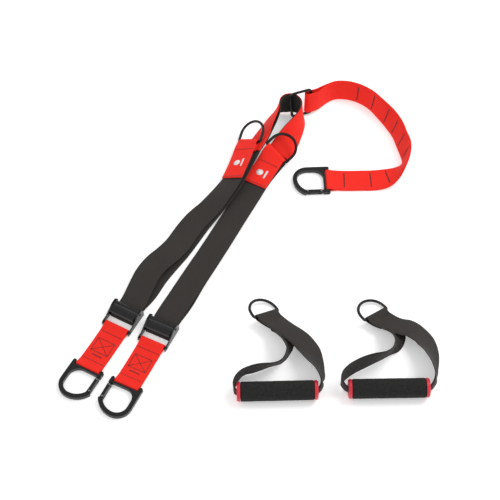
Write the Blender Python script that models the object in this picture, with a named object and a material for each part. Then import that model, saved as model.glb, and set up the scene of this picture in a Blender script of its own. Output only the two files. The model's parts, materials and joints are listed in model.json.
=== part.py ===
"""Suspension strap trainer: anchor strap, two adjustable straps with cam buckles, and two loose grip handles.

Lengths are in millimetres and are turned into metres when a mesh is made. +Z is up, the set lies on z = 0,
and the origin is the middle of its footprint. Straps are ribbons that follow hand-placed routes.
"""

import math

import bmesh
import bpy
import numpy as np
from mathutils import Matrix, Vector

MM = 0.001

# ---- webbing
WEB_WIDTH = 38.0  # nominal 1 1/2 inch webbing
WEB_THICK = 1.4
WEB_GAP = 0.3  # between two layers, and between a layer and what it lies on
WEB_STEP = 8.0  # spacing of a strap's sections
LAYER = WEB_THICK + WEB_GAP

# ---- pins and clearances
CLEAR = 0.3
PIN_RADIUS = 1.8
PIN_SIDES = 16
EYE_CLEAR = 0.25
BAR_LEAD = 7.0  # webbing leaves a ring's bar squarely for this far
EYE_RADIUS = PIN_RADIUS + EYE_CLEAR + WEB_THICK / 2  # middle of the webbing round a pin
PIN_HEIGHT = EYE_RADIUS + WEB_THICK / 2 + 0.05  # a webbing eye just clears the floor
SIDE_CLEAR = 0.6  # between webbing edge and the metal beside it

# ---- carabiners
CARABINER_WIDTH = 50.0
CARABINER_THICK = 2 * PIN_HEIGHT - 0.1
CARABINER_SECTION = 6.6
CARABINER_EDGE = 1.4
CROSSBAR = 3.0
BOW_HEIGHT = 54.0  # from the webbing pin to the outside of the bow
SPINE_BEND = 22.2
NOSE_BEND = 32.0
CORNER_BEND = 15.0
EAR_TIP = 3.4
HINGE_OFFSET = 4.5  # from the crossbar's inner edge to the gate hinge
GATE_REACH = 20.5  # from the gate hinge to the latch pin
GATE_WIDTH = 6.2
GATE_EDGE = 1.2
TONGUE = 2.4  # thickness of the tang and of the nose tongue
GATE_PIN_RADIUS = 1.1
GATE_PIN_SIDES = 12
SPRING_WIRE = 0.35
SPRING_SIDES = 4

# ---- cam buckles
WALL = 2.0
BUCKLE_INNER = WEB_WIDTH + 2 * 1.6
WALL_TOP = 17.8
WALL_FRONT = 38.0
WALL_REAR = 4.2
PLATE_REAR = 14.0
PLATE_FRONT = 36.0
PLATE_THICK = 2.0
PLATE_TURN = PLATE_THICK / 2 + EYE_CLEAR + WEB_THICK / 2  # middle of the webbing round the plate's rear edge
CAM_Y = 29.0
CAM_RADIUS = 5.4
CAM_TOOTH = 0.45
CAM_LEVER = 16.6  # from the cam pin back to the thumb edge
LEVER_THICK = 2.6
CAM_COIL_RADIUS = 3.2
CAM_COIL_WIRE = 0.45
CAM_COIL_TURNS = 3

# ---- rings
RING_WIRE = 2.25  # radius of the ring wire
RING_SIDES = 8
D_INNER = WEB_WIDTH + 2 * SIDE_CLEAR
PULL_D_LEG = 13.5
HANDLE_D_LEG = 7.0
SQUARE_RING_WIDTH = 34.0  # between the middles of its upright bars
SQUARE_RING_CORNER = 5.0
ANCHOR_EYE = 4.6  # middle of the webbing round the loose eye the square ring hangs in

# ---- handles
GRIP_LENGTH = 103.0  # foam, between the end caps
GRIP_RADIUS = 14.0
TUBE_RADIUS = 11.2
TUBE_WALL = 1.3
CAP_FLANGE = 5.2
CAP_SLEEVE = 6.0
CAP_BORE = 8.6
GRIP_SIDES = 24
FOLDED_WIDTH = 14.5  # the webbing is folded lengthwise inside the grip
FOLDED_THICK = 3.2
FOLD_REACH = 34.0  # over which it opens out to its full width

# ---- where things lie, x and y, with the direction each one points in degrees from +X
END_STRAP = 77.0  # between the carabiner pin and the buckle's rear pin
BUCKLES = {"left": ((-192.0, -138.0), 61.5), "right": ((-139.0, -164.0), 64.0)}
ANCHOR_CARABINER = ((120.3, 129.4), 182.3)
GRIPS = {"left": ((38.0, -248.8), 1.5), "right": ((193.3, -244.8), 1.0)}
SQUARE_RING = ((82.0, 268.8, 24.9), (0.94, 0.34, 0.0), (-0.06, 0.165, 0.985))

# Pull rings: middle of the straight bar, along the bar, and towards the round end.
PULL_RINGS = {
    "left": ((-0.8, 198.2, 14.4), (0.77, -0.40, 0.50), (0.26, 0.91, 0.31)),
    "right": ((40.5, 175.0, 13.6), (0.68, -0.69, -0.26), (0.68, 0.65, 0.36)),
}
HANDLE_RINGS = {
    "left": ((24.0, -120.5, 10.0), (-0.79, -0.50, 0.35), (-0.48, 0.88, -0.04)),
    "right": ((182.5, -120.5, 8.8), (-0.77, -0.60, 0.22), (-0.53, 0.84, -0.06)),
}

# Strap routes: x, y, z of the middle, then the direction across the strap.
ANCHOR_ROUTE = [
    (92, 272.4, 24.4, 0.02, 0.16, 0.99),
    (105, 277.2, 23.6, 0.02, 0.16, 0.99),
    (120, 289.5, 21.8, -0.03, 0.13, 0.99),
    (138, 300, 20.4, 0.0, 0.12, 0.99),
    (155, 300, 20.2, 0.03, 0.13, 0.99),
    (174, 294, 20.0, 0.06, 0.13, 0.99),
    (192, 281.5, 19.9, 0.12, 0.12, 0.985),
    (208.5, 261, 19.5, 0.22, 0.10, 0.97),
    (222.5, 240.5, 19.2, 0.32, 0.08, 0.94),
    (233.5, 217.5, 19.2, 0.32, 0.02, 0.94),
    (238.5, 198, 19.2, 0.33, -0.05, 0.93),
    (243, 180, 19.6, 0.33, -0.10, 0.93),
    (243.5, 164, 19.4, 0.20, -0.22, 0.95),
    (238, 150.2, 17.9, 0.15, -0.52, 0.84),
    (228, 139.9, 11.2, 0.05, -0.88, 0.45),
    (214, 134.0, 4.7, 0.0, -0.99, 0.12),
    (196, 131, 2.1, 0.0, -1.0, 0.0),
    (170, 130, 2.0, 0.0, -1.0, 0.0),
    (146, 129.7, 2.0, 0.02, -1.0, 0.0),
    (134, 129.95, 2.4, 0.04, -1.0, 0.0),
    (120.3, 129.4, PIN_HEIGHT, 0.04, -1.0, 0.0),
]
LEFT_UNDER = [
    (-155, -78, 1.1, -0.87, 0.50, 0.0),
    (-140, -50, 1.1, -0.86, 0.52, 0.0),
    (-125, -27, 1.1, -0.85, 0.53, 0.0),
    (-109, -4, 1.1, -0.85, 0.53, 0.0),
    (-94, 21, 1.2, -0.86, 0.51, 0.0),
    (-79, 46, 1.8, -0.87, 0.50, -0.02),
    (-61, 70, 4.4, -0.86, 0.48, -0.14),
    (-44, 92, 7.0, -0.83, 0.46, -0.30),
    (-28, 117, 9.5, -0.79, 0.44, -0.42),
    (-16, 141, 11.0, -0.78, 0.40, -0.48),
    (-6, 163, 11.2, -0.78, 0.36, -0.50),
]
LEFT_OVER = [
    (-36.5, 108, 13.4, -0.80, 0.41, -0.40),
    (-46.5, 93, 11.8, -0.82, 0.44, -0.32),
    (-63, 71, 8.8, -0.84, 0.49, -0.18),
    (-82, 50, 6.4, -0.86, 0.50, -0.05),
    (-97, 26, 6.6, -0.86, 0.50, 0.0),
    (-108, 5, 8.4, -0.83, 0.54, 0.0),
    (-122, -14, 10.2, -0.80, 0.58, 0.0),
    (-139, -32, 10.4, -0.82, 0.55, 0.0),
    (-150, -48, 9.6, -0.85, 0.50, 0.0),
    (-160, -72, 8.0, -0.88, 0.47, 0.0),
]
LEFT_TAB = [
    (-6, 185, 16.2, -0.79, 0.42, -0.45),
    (-10.5, 171, 15.6, -0.79, 0.40, -0.47),
    (-17.5, 149, 15.8, -0.79, 0.37, -0.48),
    (-27, 124, 14.8, -0.79, 0.38, -0.47),
]
YOKE = [
    (3, 184, 11.0, -0.80, 0.28, -0.50),
    (14, 199, 13.0, -0.75, 0.25, -0.60),
    (22.5, 213, 15.4, -0.70, 0.20, -0.68),
    (33, 230, 18.0, -0.56, 0.14, -0.81),
    (40.5, 248, 20.4, -0.45, 0.12, -0.88),
    (46, 261.5, 22.4, -0.25, 0.04, -0.96),
    (57, 268.6, 23.8, 0.0, -0.12, -0.99),
    (69.5, 269, 24.2, 0.03, -0.12, -0.99),
    (79.5, 261.5, 23.8, 0.06, -0.06, -0.99),
    (82, 248, 21.8, 0.15, -0.05, -0.98),
    (76.5, 231.5, 18.5, 0.34, -0.10, -0.93),
    (66.5, 214.8, 15.0, 0.58, -0.24, -0.76),
    (56, 197.9, 9.0, 0.80, -0.38, -0.42),
    (44.5, 180.5, 3.6, 0.88, -0.44, -0.12),
    (30.5, 159.5, 1.6, 0.89, -0.45, 0.0),
]
RIGHT_UNDER = [
    (14, 134, 1.3, 0.89, -0.45, 0.0),
    (-3, 101, 1.1, 0.89, -0.45, 0.0),
    (-23, 62, 1.1, 0.89, -0.45, 0.0),
    (-43, 22, 1.1, 0.89, -0.46, 0.0),
    (-63, -17, 1.1, 0.88, -0.46, 0.0),
    (-83, -55, 1.1, 0.88, -0.46, 0.0),
    (-102, -95, 1.1, 0.90, -0.44, 0.0),
]
RIGHT_OVER = [
    (-101, -90, 7.4, 0.89, -0.45, 0.0),
    (-83, -56, 7.4, 0.88, -0.46, 0.0),
    (-62, -16, 5.6, 0.88, -0.46, 0.0),
    (-43, 21, 4.6, 0.89, -0.46, 0.0),
    (-21, 64, 4.4, 0.89, -0.45, 0.0),
    (-1, 103, 4.4, 0.89, -0.45, 0.0),
]
RIGHT_TAB = [
    (7, 119, 4.8, 0.89, -0.45, 0.0),
    (17, 138, 5.4, 0.88, -0.46, -0.03),
    (27, 156, 7.0, 0.84, -0.53, -0.06),
    (33.5, 167, 10.2, 0.78, -0.60, -0.14),
]
# Handle webbing: both layers together from the ring to where they part, then each layer down to its grip end.
HANDLE_ROUTES = {
    "left": {
        "stack": [
            (35, -132, 9.8, -0.72, -0.57, 0.40),
            (43.5, -139.5, 9.8, -0.68, -0.60, 0.43),
        ],
        "upper": [
            (53, -146, 9.4, -0.67, -0.60, 0.43),
            (61.5, -152.5, 9.2, -0.71, -0.57, 0.40),
            (70, -160, 9.4, -0.74, -0.54, 0.39),
            (78, -170, 9.8, -0.73, -0.53, 0.41),
            (84, -180, 10.6, -0.80, -0.38, 0.44),
            (88, -192, 12.6, -0.82, -0.12, 0.56),
            (92, -205, 15.6, -0.70, -0.02, 0.71),
            (95.5, -217, 18.0, -0.52, 0.06, 0.85),
            (98.5, -229, 19.4, -0.28, 0.08, 0.96),
            (100.5, -239, 17.4, -0.10, 0.06, 1.0),
        ],
        "lower": [
            (47, -149, 9.3, -0.72, -0.52, 0.46),
            (49, -158, 11.8, -0.74, -0.28, 0.60),
            (49.5, -167, 14.8, -0.64, 0.04, 0.76),
            (51, -176.5, 18.6, -0.36, 0.10, 0.92),
            (52.5, -186, 20.2, -0.08, 0.04, 1.0),
            (49.5, -196, 20.2, 0.06, -0.12, 0.99),
            (42.5, -205, 19.4, 0.10, -0.32, 0.94),
            (31, -209.5, 19.0, 0.10, -0.36, 0.92),
            (18, -213, 19.4, 0.10, -0.26, 0.96),
            (4, -217, 19.8, 0.05, -0.20, 0.98),
            (-9, -222, 19.8, 0.06, -0.24, 0.97),
            (-17, -230.5, 19.4, 0.0, -0.16, 0.98),
            (-22, -241, 17.4, -0.06, -0.02, 1.0),
        ],
    },
    "right": {
        "stack": [
            (193.5, -129.5, 8.2, -0.74, -0.61, 0.26),
            (202, -135, 8.6, -0.68, -0.66, 0.31),
        ],
        "upper": [
            (212, -139.5, 9.6, -0.64, -0.69, 0.33),
            (220, -142, 9.4, -0.60, -0.73, 0.33),
            (228, -143, 8.8, -0.58, -0.74, 0.34),
            (239, -152, 9.6, -0.70, -0.60, 0.40),
            (248, -163, 10.8, -0.76, -0.42, 0.47),
            (253, -177, 12.4, -0.82, -0.06, 0.56),
            (256, -192, 16.0, -0.65, 0.06, 0.75),
            (257.5, -206, 18.8, -0.45, 0.09, 0.89),
            (259, -220, 20.2, -0.25, 0.06, 0.97),
            (259.5, -231.5, 18.4, -0.10, 0.05, 1.0),
        ],
        "lower": [
            (205.5, -143.2, 8.2, -0.70, -0.56, 0.40),
            (206.5, -151.8, 10.8, -0.74, -0.40, 0.54),
            (207.5, -160, 14.4, -0.66, -0.06, 0.75),
            (207.5, -169.5, 18.2, -0.38, 0.08, 0.92),
            (205.5, -179, 20.2, -0.10, 0.0, 1.0),
            (199.5, -187.5, 19.8, 0.06, -0.20, 0.97),
            (190, -194.5, 19.8, 0.08, -0.22, 0.96),
            (176, -200, 20.2, 0.04, -0.12, 0.99),
            (161, -206.5, 20.4, 0.0, -0.04, 1.0),
            (147, -214, 20.4, 0.0, -0.02, 1.0),
            (135, -223, 20.0, 0.0, -0.04, 0.99),
            (127.5, -235, 17.8, -0.04, 0.0, 1.0),
        ],
    },
}

RED = (0.78, 0.022, 0.018, 1.0)
CHARCOAL = (0.03, 0.028, 0.027, 1.0)
BLACK_METAL = (0.012, 0.012, 0.013, 1.0)
FOAM = (0.018, 0.018, 0.018, 1.0)
CAP_RED = (0.66, 0.03, 0.045, 1.0)
STEEL = (0.55, 0.55, 0.56, 1.0)


# ---------------------------------------------------------------- objects and materials
def material(name, colour, roughness, metallic=0.0):
    made = bpy.data.materials.new(name)
    made.use_nodes = True
    shader = made.node_tree.nodes["Principled BSDF"]
    shader.inputs["Base Color"].default_value = colour
    shader.inputs["Roughness"].default_value = roughness
    shader.inputs["Metallic"].default_value = metallic
    made.diffuse_color = colour
    return made


def empty(name, parent, matrix=None):
    made = bpy.data.objects.new(name, None)
    bpy.context.collection.objects.link(made)
    made.parent = parent
    if matrix is not None:
        made.matrix_local = matrix
    return made


def add(name, mesh, look, parent, matrix=None, smooth=30.0):
    """One named piece from a mesh, in its parent's frame."""
    made = bpy.data.objects.new(name, mesh)
    bpy.context.collection.objects.link(made)
    made.parent = parent
    if matrix is not None:
        made.matrix_local = matrix
    if not mesh.materials:
        mesh.materials.append(look)
    mesh.shade_smooth()
    mesh.set_sharp_from_angle(angle=math.radians(smooth))
    return made


def mesh_from(points, faces):
    mesh = bpy.data.meshes.new("shape")
    mesh.from_pydata([tuple(float(c) * MM for c in p) for p in points], [], faces)
    shape = bmesh.new()
    shape.from_mesh(mesh)
    bmesh.ops.recalc_face_normals(shape, faces=shape.faces)
    if shape.calc_volume(signed=True) < 0:
        bmesh.ops.reverse_faces(shape, faces=shape.faces)
    shape.to_mesh(mesh)
    shape.free()
    return mesh


def combined(base, other, operation):
    """The Boolean of two meshes, as a new mesh."""
    first = bpy.data.objects.new("base", base)
    second = bpy.data.objects.new("tool", other)
    for item in (first, second):
        bpy.context.collection.objects.link(item)
    cut = first.modifiers.new("cut", "BOOLEAN")
    cut.operation = operation
    cut.solver = "EXACT"
    cut.object = second
    graph = bpy.context.evaluated_depsgraph_get()
    result = bpy.data.meshes.new_from_object(first.evaluated_get(graph))
    bpy.data.objects.remove(first)
    bpy.data.objects.remove(second)
    return result


def frame_at(x, y, z, degrees):
    return Matrix.Translation(Vector((x, y, z)) * MM) @ Matrix.Rotation(math.radians(degrees), 4, "Z")


def axes_frame(origin, first, second):
    """A frame at origin with X along first, Y as near second as square allows, and Z up out of both."""
    x = Vector(first).normalized()
    z = x.cross(Vector(second)).normalized()
    y = z.cross(x)
    turned = Matrix((x, y, z)).transposed().to_4x4()
    return Matrix.Translation(Vector(origin) * MM) @ turned


# ---------------------------------------------------------------- plain shapes
def arc(cx, cy, radius, start, end, count):
    angles = np.radians(np.linspace(start, end, count))
    return [(cx + radius * math.cos(a), cy + radius * math.sin(a)) for a in angles]


def prism(outline, low, high, edge=0.0, segments=2, axis="z"):
    """Extrude an anticlockwise outline between two heights along an axis, with its rims rounded."""
    shape = bmesh.new()
    verts = [shape.verts.new((x * MM, y * MM, low * MM)) for x, y in outline]
    bottom = shape.faces.new(verts)
    bottom.normal_update()
    if bottom.normal.z > 0:
        bottom.normal_flip()
    raised = bmesh.ops.extrude_face_region(shape, geom=[bottom])
    top = [item for item in raised["geom"] if isinstance(item, bmesh.types.BMVert)]
    bmesh.ops.translate(shape, vec=(0, 0, (high - low) * MM), verts=top)
    bmesh.ops.recalc_face_normals(shape, faces=shape.faces)
    if edge:
        rims = [e for e in shape.edges if abs(e.verts[0].co.z - e.verts[1].co.z) < 1e-9]
        bmesh.ops.bevel(
            shape, geom=rims, offset=edge * MM, segments=segments, profile=0.5, affect="EDGES", clamp_overlap=True
        )
    if axis == "x":
        onto_x = Matrix(((0, 0, 1, 0), (1, 0, 0, 0), (0, 1, 0, 0), (0, 0, 0, 1)))
        bmesh.ops.transform(shape, matrix=onto_x, verts=shape.verts)
    mesh = bpy.data.meshes.new("prism")
    shape.to_mesh(mesh)
    shape.free()
    return mesh


def rod(radius, low, high, sides, axis="x", edge=0.0, at=(0.0, 0.0)):
    """A round bar along an axis, centred on a point in the plane across it."""
    outline = arc(at[0], at[1], radius, 0, 360 - 360 / sides, sides)
    return prism(outline, low, high, edge, 1, axis)


def box(low, high):
    outline = [(low[0], low[1]), (high[0], low[1]), (high[0], high[1]), (low[0], high[1])]
    return prism(outline, low[2], high[2])


def tube(profile, sides):
    """Turn a closed profile of (x along the axis, radius) about X."""
    points = []
    for k in range(sides):
        a = 2 * math.pi * k / sides
        points += [(x, r * math.cos(a), r * math.sin(a)) for x, r in profile]
    count = len(profile)
    faces = []
    for k in range(sides):
        here, there = k * count, ((k + 1) % sides) * count
        for i in range(count):
            j = (i + 1) % count
            faces.append((here + i, here + j, there + j, there + i))
    return mesh_from(points, faces)


def wire(path, normal, radius, sides, closed=True):
    """Round wire along a path that lies in the plane with the given normal."""
    path = np.array(path, float)
    normal = np.array(normal, float)
    ahead, behind = np.roll(path, -1, 0), np.roll(path, 1, 0)
    if not closed:
        ahead[-1], behind[0] = path[-1], path[0]
    along = ahead - behind
    along /= np.linalg.norm(along, axis=1)[:, None]
    points = []
    for middle, t in zip(path, along):
        side = np.cross(normal, t)
        side /= np.linalg.norm(side)
        up = np.cross(t, side)
        for k in range(sides):
            a = 2 * math.pi * (k + 0.5) / sides
            points.append(middle + radius * (math.cos(a) * side + math.sin(a) * up))
    return mesh_from(points, skin(len(path), sides, closed))


def skin(rings, sides, closed):
    faces = []
    for i in range(rings if closed else rings - 1):
        a, b = i * sides, ((i + 1) % rings) * sides
        for k in range(sides):
            m = (k + 1) % sides
            faces.append((a + k, a + m, b + m, b + k))
    if not closed:
        faces.append(tuple(reversed(range(sides))))
        faces.append(tuple((rings - 1) * sides + k for k in range(sides)))
    return faces


# ---------------------------------------------------------------- webbing
def smooth_route(rows, step, closed=False):
    """A smooth curve through the rows, by the distance between their places, read every step."""
    rows = np.array(rows, float)
    if closed:
        rows = np.vstack([rows[-2:], rows, rows[:3]])
    gap = np.linalg.norm(np.diff(rows[:, :3], axis=0), axis=1)
    slope = np.diff(rows, axis=0) / gap[:, None]
    lean = np.empty_like(rows)
    lean[1:-1] = (gap[:-1, None] * slope[1:] + gap[1:, None] * slope[:-1]) / (gap[:-1] + gap[1:])[:, None]
    lean[0] = 1.5 * slope[0] - 0.5 * lean[1]
    lean[-1] = 1.5 * slope[-1] - 0.5 * lean[-2]
    first, last = (2, len(rows) - 3) if closed else (0, len(rows) - 1)
    out = []
    for i in range(first, last):
        count = max(1, round(gap[i] / step))
        for k in range(count):
            u = k / count
            out.append(
                (2 * u**3 - 3 * u**2 + 1) * rows[i]
                + (u**3 - 2 * u**2 + u) * gap[i] * lean[i]
                + (3 * u**2 - 2 * u**3) * rows[i + 1]
                + (u**3 - u**2) * gap[i] * lean[i + 1]
            )
    if not closed:
        out.append(rows[-1])
    return np.array(out)


def strap_frames(rows, closed=False):
    """Middle, direction along, direction across and upper normal at each row of a route."""
    middle = rows[:, :3]
    along = np.roll(middle, -1, 0) - np.roll(middle, 1, 0)
    if not closed:
        along[0] = middle[1] - middle[0]
        along[-1] = middle[-1] - middle[-2]
    along /= np.linalg.norm(along, axis=1)[:, None]
    across = rows[:, 3:6] - (rows[:, 3:6] * along).sum(1)[:, None] * along
    across /= np.linalg.norm(across, axis=1)[:, None]
    return middle, along, across, np.cross(across, along)


def ribbon(rows, closed=False, widths=None, thicks=None, turned=0):
    """A flat strap of rectangular section along the rows of a route.

    Its faces are triangles, all split the same way, so that two layers of a twisted strap stay parallel. A
    doubled strap runs back over itself from row number "turned" on, and is split the other way there.
    """
    middle, along, _, _ = strap_frames(rows, closed)
    across = rows[:, 3:6] / np.linalg.norm(rows[:, 3:6], axis=1)[:, None]
    normal = np.cross(across, along)
    normal /= np.linalg.norm(normal, axis=1)[:, None]
    widths = np.full(len(rows), WEB_WIDTH) if widths is None else widths
    thicks = np.full(len(rows), WEB_THICK) if thicks is None else thicks
    half = across * widths[:, None] / 2
    rise = normal * thicks[:, None] / 2
    corners = np.stack([middle + half + rise, middle - half + rise, middle - half - rise, middle + half - rise], 1)
    faces = []
    for face in skin(len(rows), 4, closed):
        if min(face) + 4 > max(face) and not closed:
            faces.append(face)
            continue
        row, corner = divmod(face[0], 4)
        first = (corner in (0, 1)) == (turned == 0 or row < turned)
        a, b, c, d = face if first else (*face[1:], face[0])
        faces += [(a, b, c), (a, c, d)]
    return mesh_from(corners.reshape(-1, 3), faces)


def squared(rows, start=0, end=0):
    """The same route with its across directions made square to it, but for a few rows beside a bar."""
    middle, _, across, _ = strap_frames(rows)
    across[:start] = rows[:start, 3:6]
    across[len(rows) - end :] = rows[len(rows) - end :, 3:6]
    return np.hstack([middle, across])


def layer(rows, lift):
    """The same route lifted off itself along its upper normal, by one amount or one for each row."""
    middle, along, _, _ = strap_frames(rows)
    across = rows[:, 3:6] / np.linalg.norm(rows[:, 3:6], axis=1)[:, None]
    normal = np.cross(across, along)
    normal /= np.linalg.norm(normal, axis=1)[:, None]
    lift = np.broadcast_to(lift, len(rows))
    return np.hstack([middle + normal * lift[:, None], across])


def off_bar(ring, towards):
    """The start of a route at a ring's bar: square off the bar, on its way towards a point."""
    middle, bar, _ = (np.array(v, float) for v in ring)
    bar /= np.linalg.norm(bar)
    leave = np.array(towards[:3], float) - middle
    leave -= leave.dot(bar) * bar
    leave *= BAR_LEAD / np.linalg.norm(leave)
    axis = bar * np.sign(bar.dot(towards[3:6]))
    return [(*middle, *axis), (*(middle + leave), *axis)]


def turn(rows, radius, count=9, end=True):
    """Half a turn round a pin at the end (or start) of a route, from its upper side to its lower side."""
    middle, along, _, _ = strap_frames(rows)
    at = -1 if end else 0
    side = rows[at, 3:6] / np.linalg.norm(rows[at, 3:6])
    rise = np.cross(side, along[at])
    rise /= np.linalg.norm(rise)
    ahead = np.cross(rise, side) * (1 if end else -1)
    angles = np.linspace(0, math.pi, count)
    if not end:
        angles = math.pi - angles
    points = [middle[at] + radius * (rise * math.cos(a) + ahead * math.sin(a)) for a in angles]
    return np.hstack([points, np.repeat(side[None], count, 0)])


def flare(rows, half, radius, reach, at_end=True):
    """How far each layer stands off a doubled route that opens out round a pin."""
    middle = rows[:, :3]
    pin = middle[-1] if at_end else middle[0]
    near = np.clip(1 - np.linalg.norm(middle - pin, axis=1) / reach, 0, 1)
    return half + (radius - half) * near * near * (3 - 2 * near)


def doubled(rows, radii, reaches):
    """A strap sewn back on itself round a pin at both ends, as one closed loop of two layers."""
    half = LAYER / 2
    lift = np.maximum(
        flare(rows, half, radii[0], reaches[0], at_end=False), flare(rows, half, radii[1], reaches[1])
    )
    upper, lower = layer(rows, lift), layer(rows, -lift)[::-1]
    return np.vstack([upper[:-1], turn(rows, radii[1]), lower[1:-1], turn(rows, radii[0], end=False)[:-1]])


def closed_strap(rows, radii, reaches):
    return ribbon(doubled(rows, radii, reaches), closed=True, turned=len(rows) + 2)


# ---------------------------------------------------------------- carabiners
def carabiner_body():
    half = CARABINER_WIDTH / 2
    slot = WEB_WIDTH / 2 + SIDE_CLEAR
    ear = (half - slot) / 2
    bar_low = EYE_RADIUS + WEB_THICK / 2 + CLEAR + 0.05
    bar_high = bar_low + CROSSBAR
    spine_in = half - CARABINER_SECTION
    hinge = bar_high + HINGE_OFFSET
    bend_x = half - SPINE_BEND
    bend_y = BOW_HEIGHT - SPINE_BEND
    nose_y = BOW_HEIGHT - NOSE_BEND
    nose_face = hinge + GATE_REACH + 2.8
    nose_turn = 180 - math.degrees(math.asin((nose_face + 1.2 - nose_y) / NOSE_BEND))
    inner_bend = NOSE_BEND - CARABINER_SECTION
    inner_turn = 180 - math.degrees(math.acos((spine_in + bend_x) / inner_bend))
    outline = arc(slot + ear, ear - EAR_TIP, ear, -180, 0, 5)
    outline += arc(bend_x, bend_y, SPINE_BEND, 0, 90, 9)
    outline += arc(bend_x, nose_y, NOSE_BEND, 90, nose_turn, 7)[1:]
    outline += [(-half, nose_face), (-spine_in, nose_face)]
    outline += arc(bend_x, nose_y, inner_bend, inner_turn, 90, 6)
    outline += arc(bend_x, bend_y, SPINE_BEND - CARABINER_SECTION, 90, 0, 8)[1:]
    outline += arc(spine_in - CORNER_BEND, bar_high + CORNER_BEND, CORNER_BEND, 0, -90, 8)
    outline += [(-spine_in, bar_high), (-spine_in, hinge - 3.6), (-half, hinge - 3.6)]
    outline += arc(-slot - ear, ear - EAR_TIP, ear, -180, 0, 5)
    outline += [(-slot, bar_low), (slot, bar_low)]
    thick = CARABINER_THICK / 2
    body = prism(outline, -thick, thick, CARABINER_EDGE, 1)
    gate_x = -(half + spine_in) / 2
    tang = [(gate_x + 2.6, bar_low + 1), *arc(gate_x, hinge, 2.6, 0, 180, 9), (gate_x - 2.6, bar_low + 1)]
    body = combined(body, prism(tang, -TONGUE / 2, TONGUE / 2), "UNION")
    latch = hinge + GATE_REACH
    lip = gate_x - GATE_PIN_RADIUS - CLEAR
    stop = latch + GATE_PIN_RADIUS + 0.4
    outside = gate_x - GATE_WIDTH / 2
    tongue = [
        (outside, latch - 1.6),
        (lip, latch - 1.6),
        (lip, stop),
        (gate_x + GATE_WIDTH / 2 - 0.2, stop),
        (gate_x + GATE_WIDTH / 2 - 0.2, nose_face + 2),
        (outside, nose_face + 2),
    ]
    body = combined(body, prism(tongue, -TONGUE / 2, TONGUE / 2), "UNION")
    for side in (-1, 1):
        span = sorted((side * (slot - 1), side * (half + 3)))
        hole = rod(PIN_RADIUS + CLEAR, span[0], span[1], PIN_SIDES)
        body = combined(body, hole, "DIFFERENCE")
    hole = rod(GATE_PIN_RADIUS + CLEAR, -4, 4, GATE_PIN_SIDES, "z", at=(gate_x, hinge))
    return combined(body, hole, "DIFFERENCE"), gate_x, hinge


def carabiner_gate():
    """The gate in its own frame: hinge at the origin, running along +Y."""
    half = GATE_WIDTH / 2
    end = GATE_REACH + 2.8 - 0.5
    thick = CARABINER_THICK / 2 - 0.15
    slot = TONGUE / 2 + CLEAR
    outline = arc(0, 0, half, -180, 0, 9) + [(half, end), (-half, end)]
    gate = prism(outline, -thick, thick, GATE_EDGE)
    gate = combined(gate, box((-5, -5, -slot), (5, 3.4, slot)), "DIFFERENCE")
    gate = combined(gate, box((-1.5, 3, -slot), (1.5, 13.5, slot)), "DIFFERENCE")
    gate = combined(gate, box((-5, GATE_REACH - 2.9, -slot), (5, end + 1, slot)), "DIFFERENCE")
    for y in (0, GATE_REACH):
        hole = rod(GATE_PIN_RADIUS + CLEAR, -5, 5, GATE_PIN_SIDES, "z", at=(0, y))
        gate = combined(gate, hole, "DIFFERENCE")
    return gate


def gate_pin():
    thick = CARABINER_THICK / 2 - 0.15
    return rod(GATE_PIN_RADIUS, -thick - 0.1, thick + 0.1, GATE_PIN_SIDES, "z")


def gate_spring():
    """A coil that lies in the gate's channel and pushes on the tang."""
    radius = TONGUE / 2 - SPRING_WIRE - 0.05 + 0.25
    turns, per_turn = 5, 8
    path = []
    for k in range(turns * per_turn + 1):
        a = 2 * math.pi * k / per_turn
        path.append((radius * math.cos(a) * 0.9, 3.6 + 9.2 * k / (turns * per_turn), radius * math.sin(a)))
    return wire(path, (0, 1, 0), SPRING_WIRE, SPRING_SIDES, closed=False)


def webbing_pin(half_length):
    return rod(PIN_RADIUS, -half_length, half_length, PIN_SIDES, "x", 0.35)


def build_carabiner(name, place, flipped, shapes, looks, parent):
    """Pivot empty on the webbing pin's axis, with the gate's own pivot under it."""
    (x, y), degrees = place
    frame = frame_at(x, y, PIN_HEIGHT, degrees - 90)
    if flipped:
        frame = frame @ Matrix.Rotation(math.pi, 4, "Y")
    pivot = empty(f"{name}_pivot", parent, frame)
    add(f"{name}_carabiner_body", shapes["body"], looks["metal"], pivot)
    add(f"{name}_webbing_pin", shapes["pin"], looks["metal"], parent, frame)
    hinge = Matrix.Translation(Vector((shapes["gate_x"], shapes["hinge"], 0)) * MM)
    latch = Matrix.Translation(Vector((0, GATE_REACH, 0)) * MM)
    add(f"{name}_gate_hinge_pin", shapes["gate_pin"], looks["steel"], pivot, hinge)
    gate = empty(f"{name}_gate_pivot", pivot, hinge)
    add(f"{name}_gate", shapes["gate"], looks["metal"], gate)
    add(f"{name}_gate_latch_pin", shapes["latch_pin"], looks["steel"], gate, latch)
    add(f"{name}_gate_spring", shapes["spring"], looks["steel"], gate)


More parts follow.
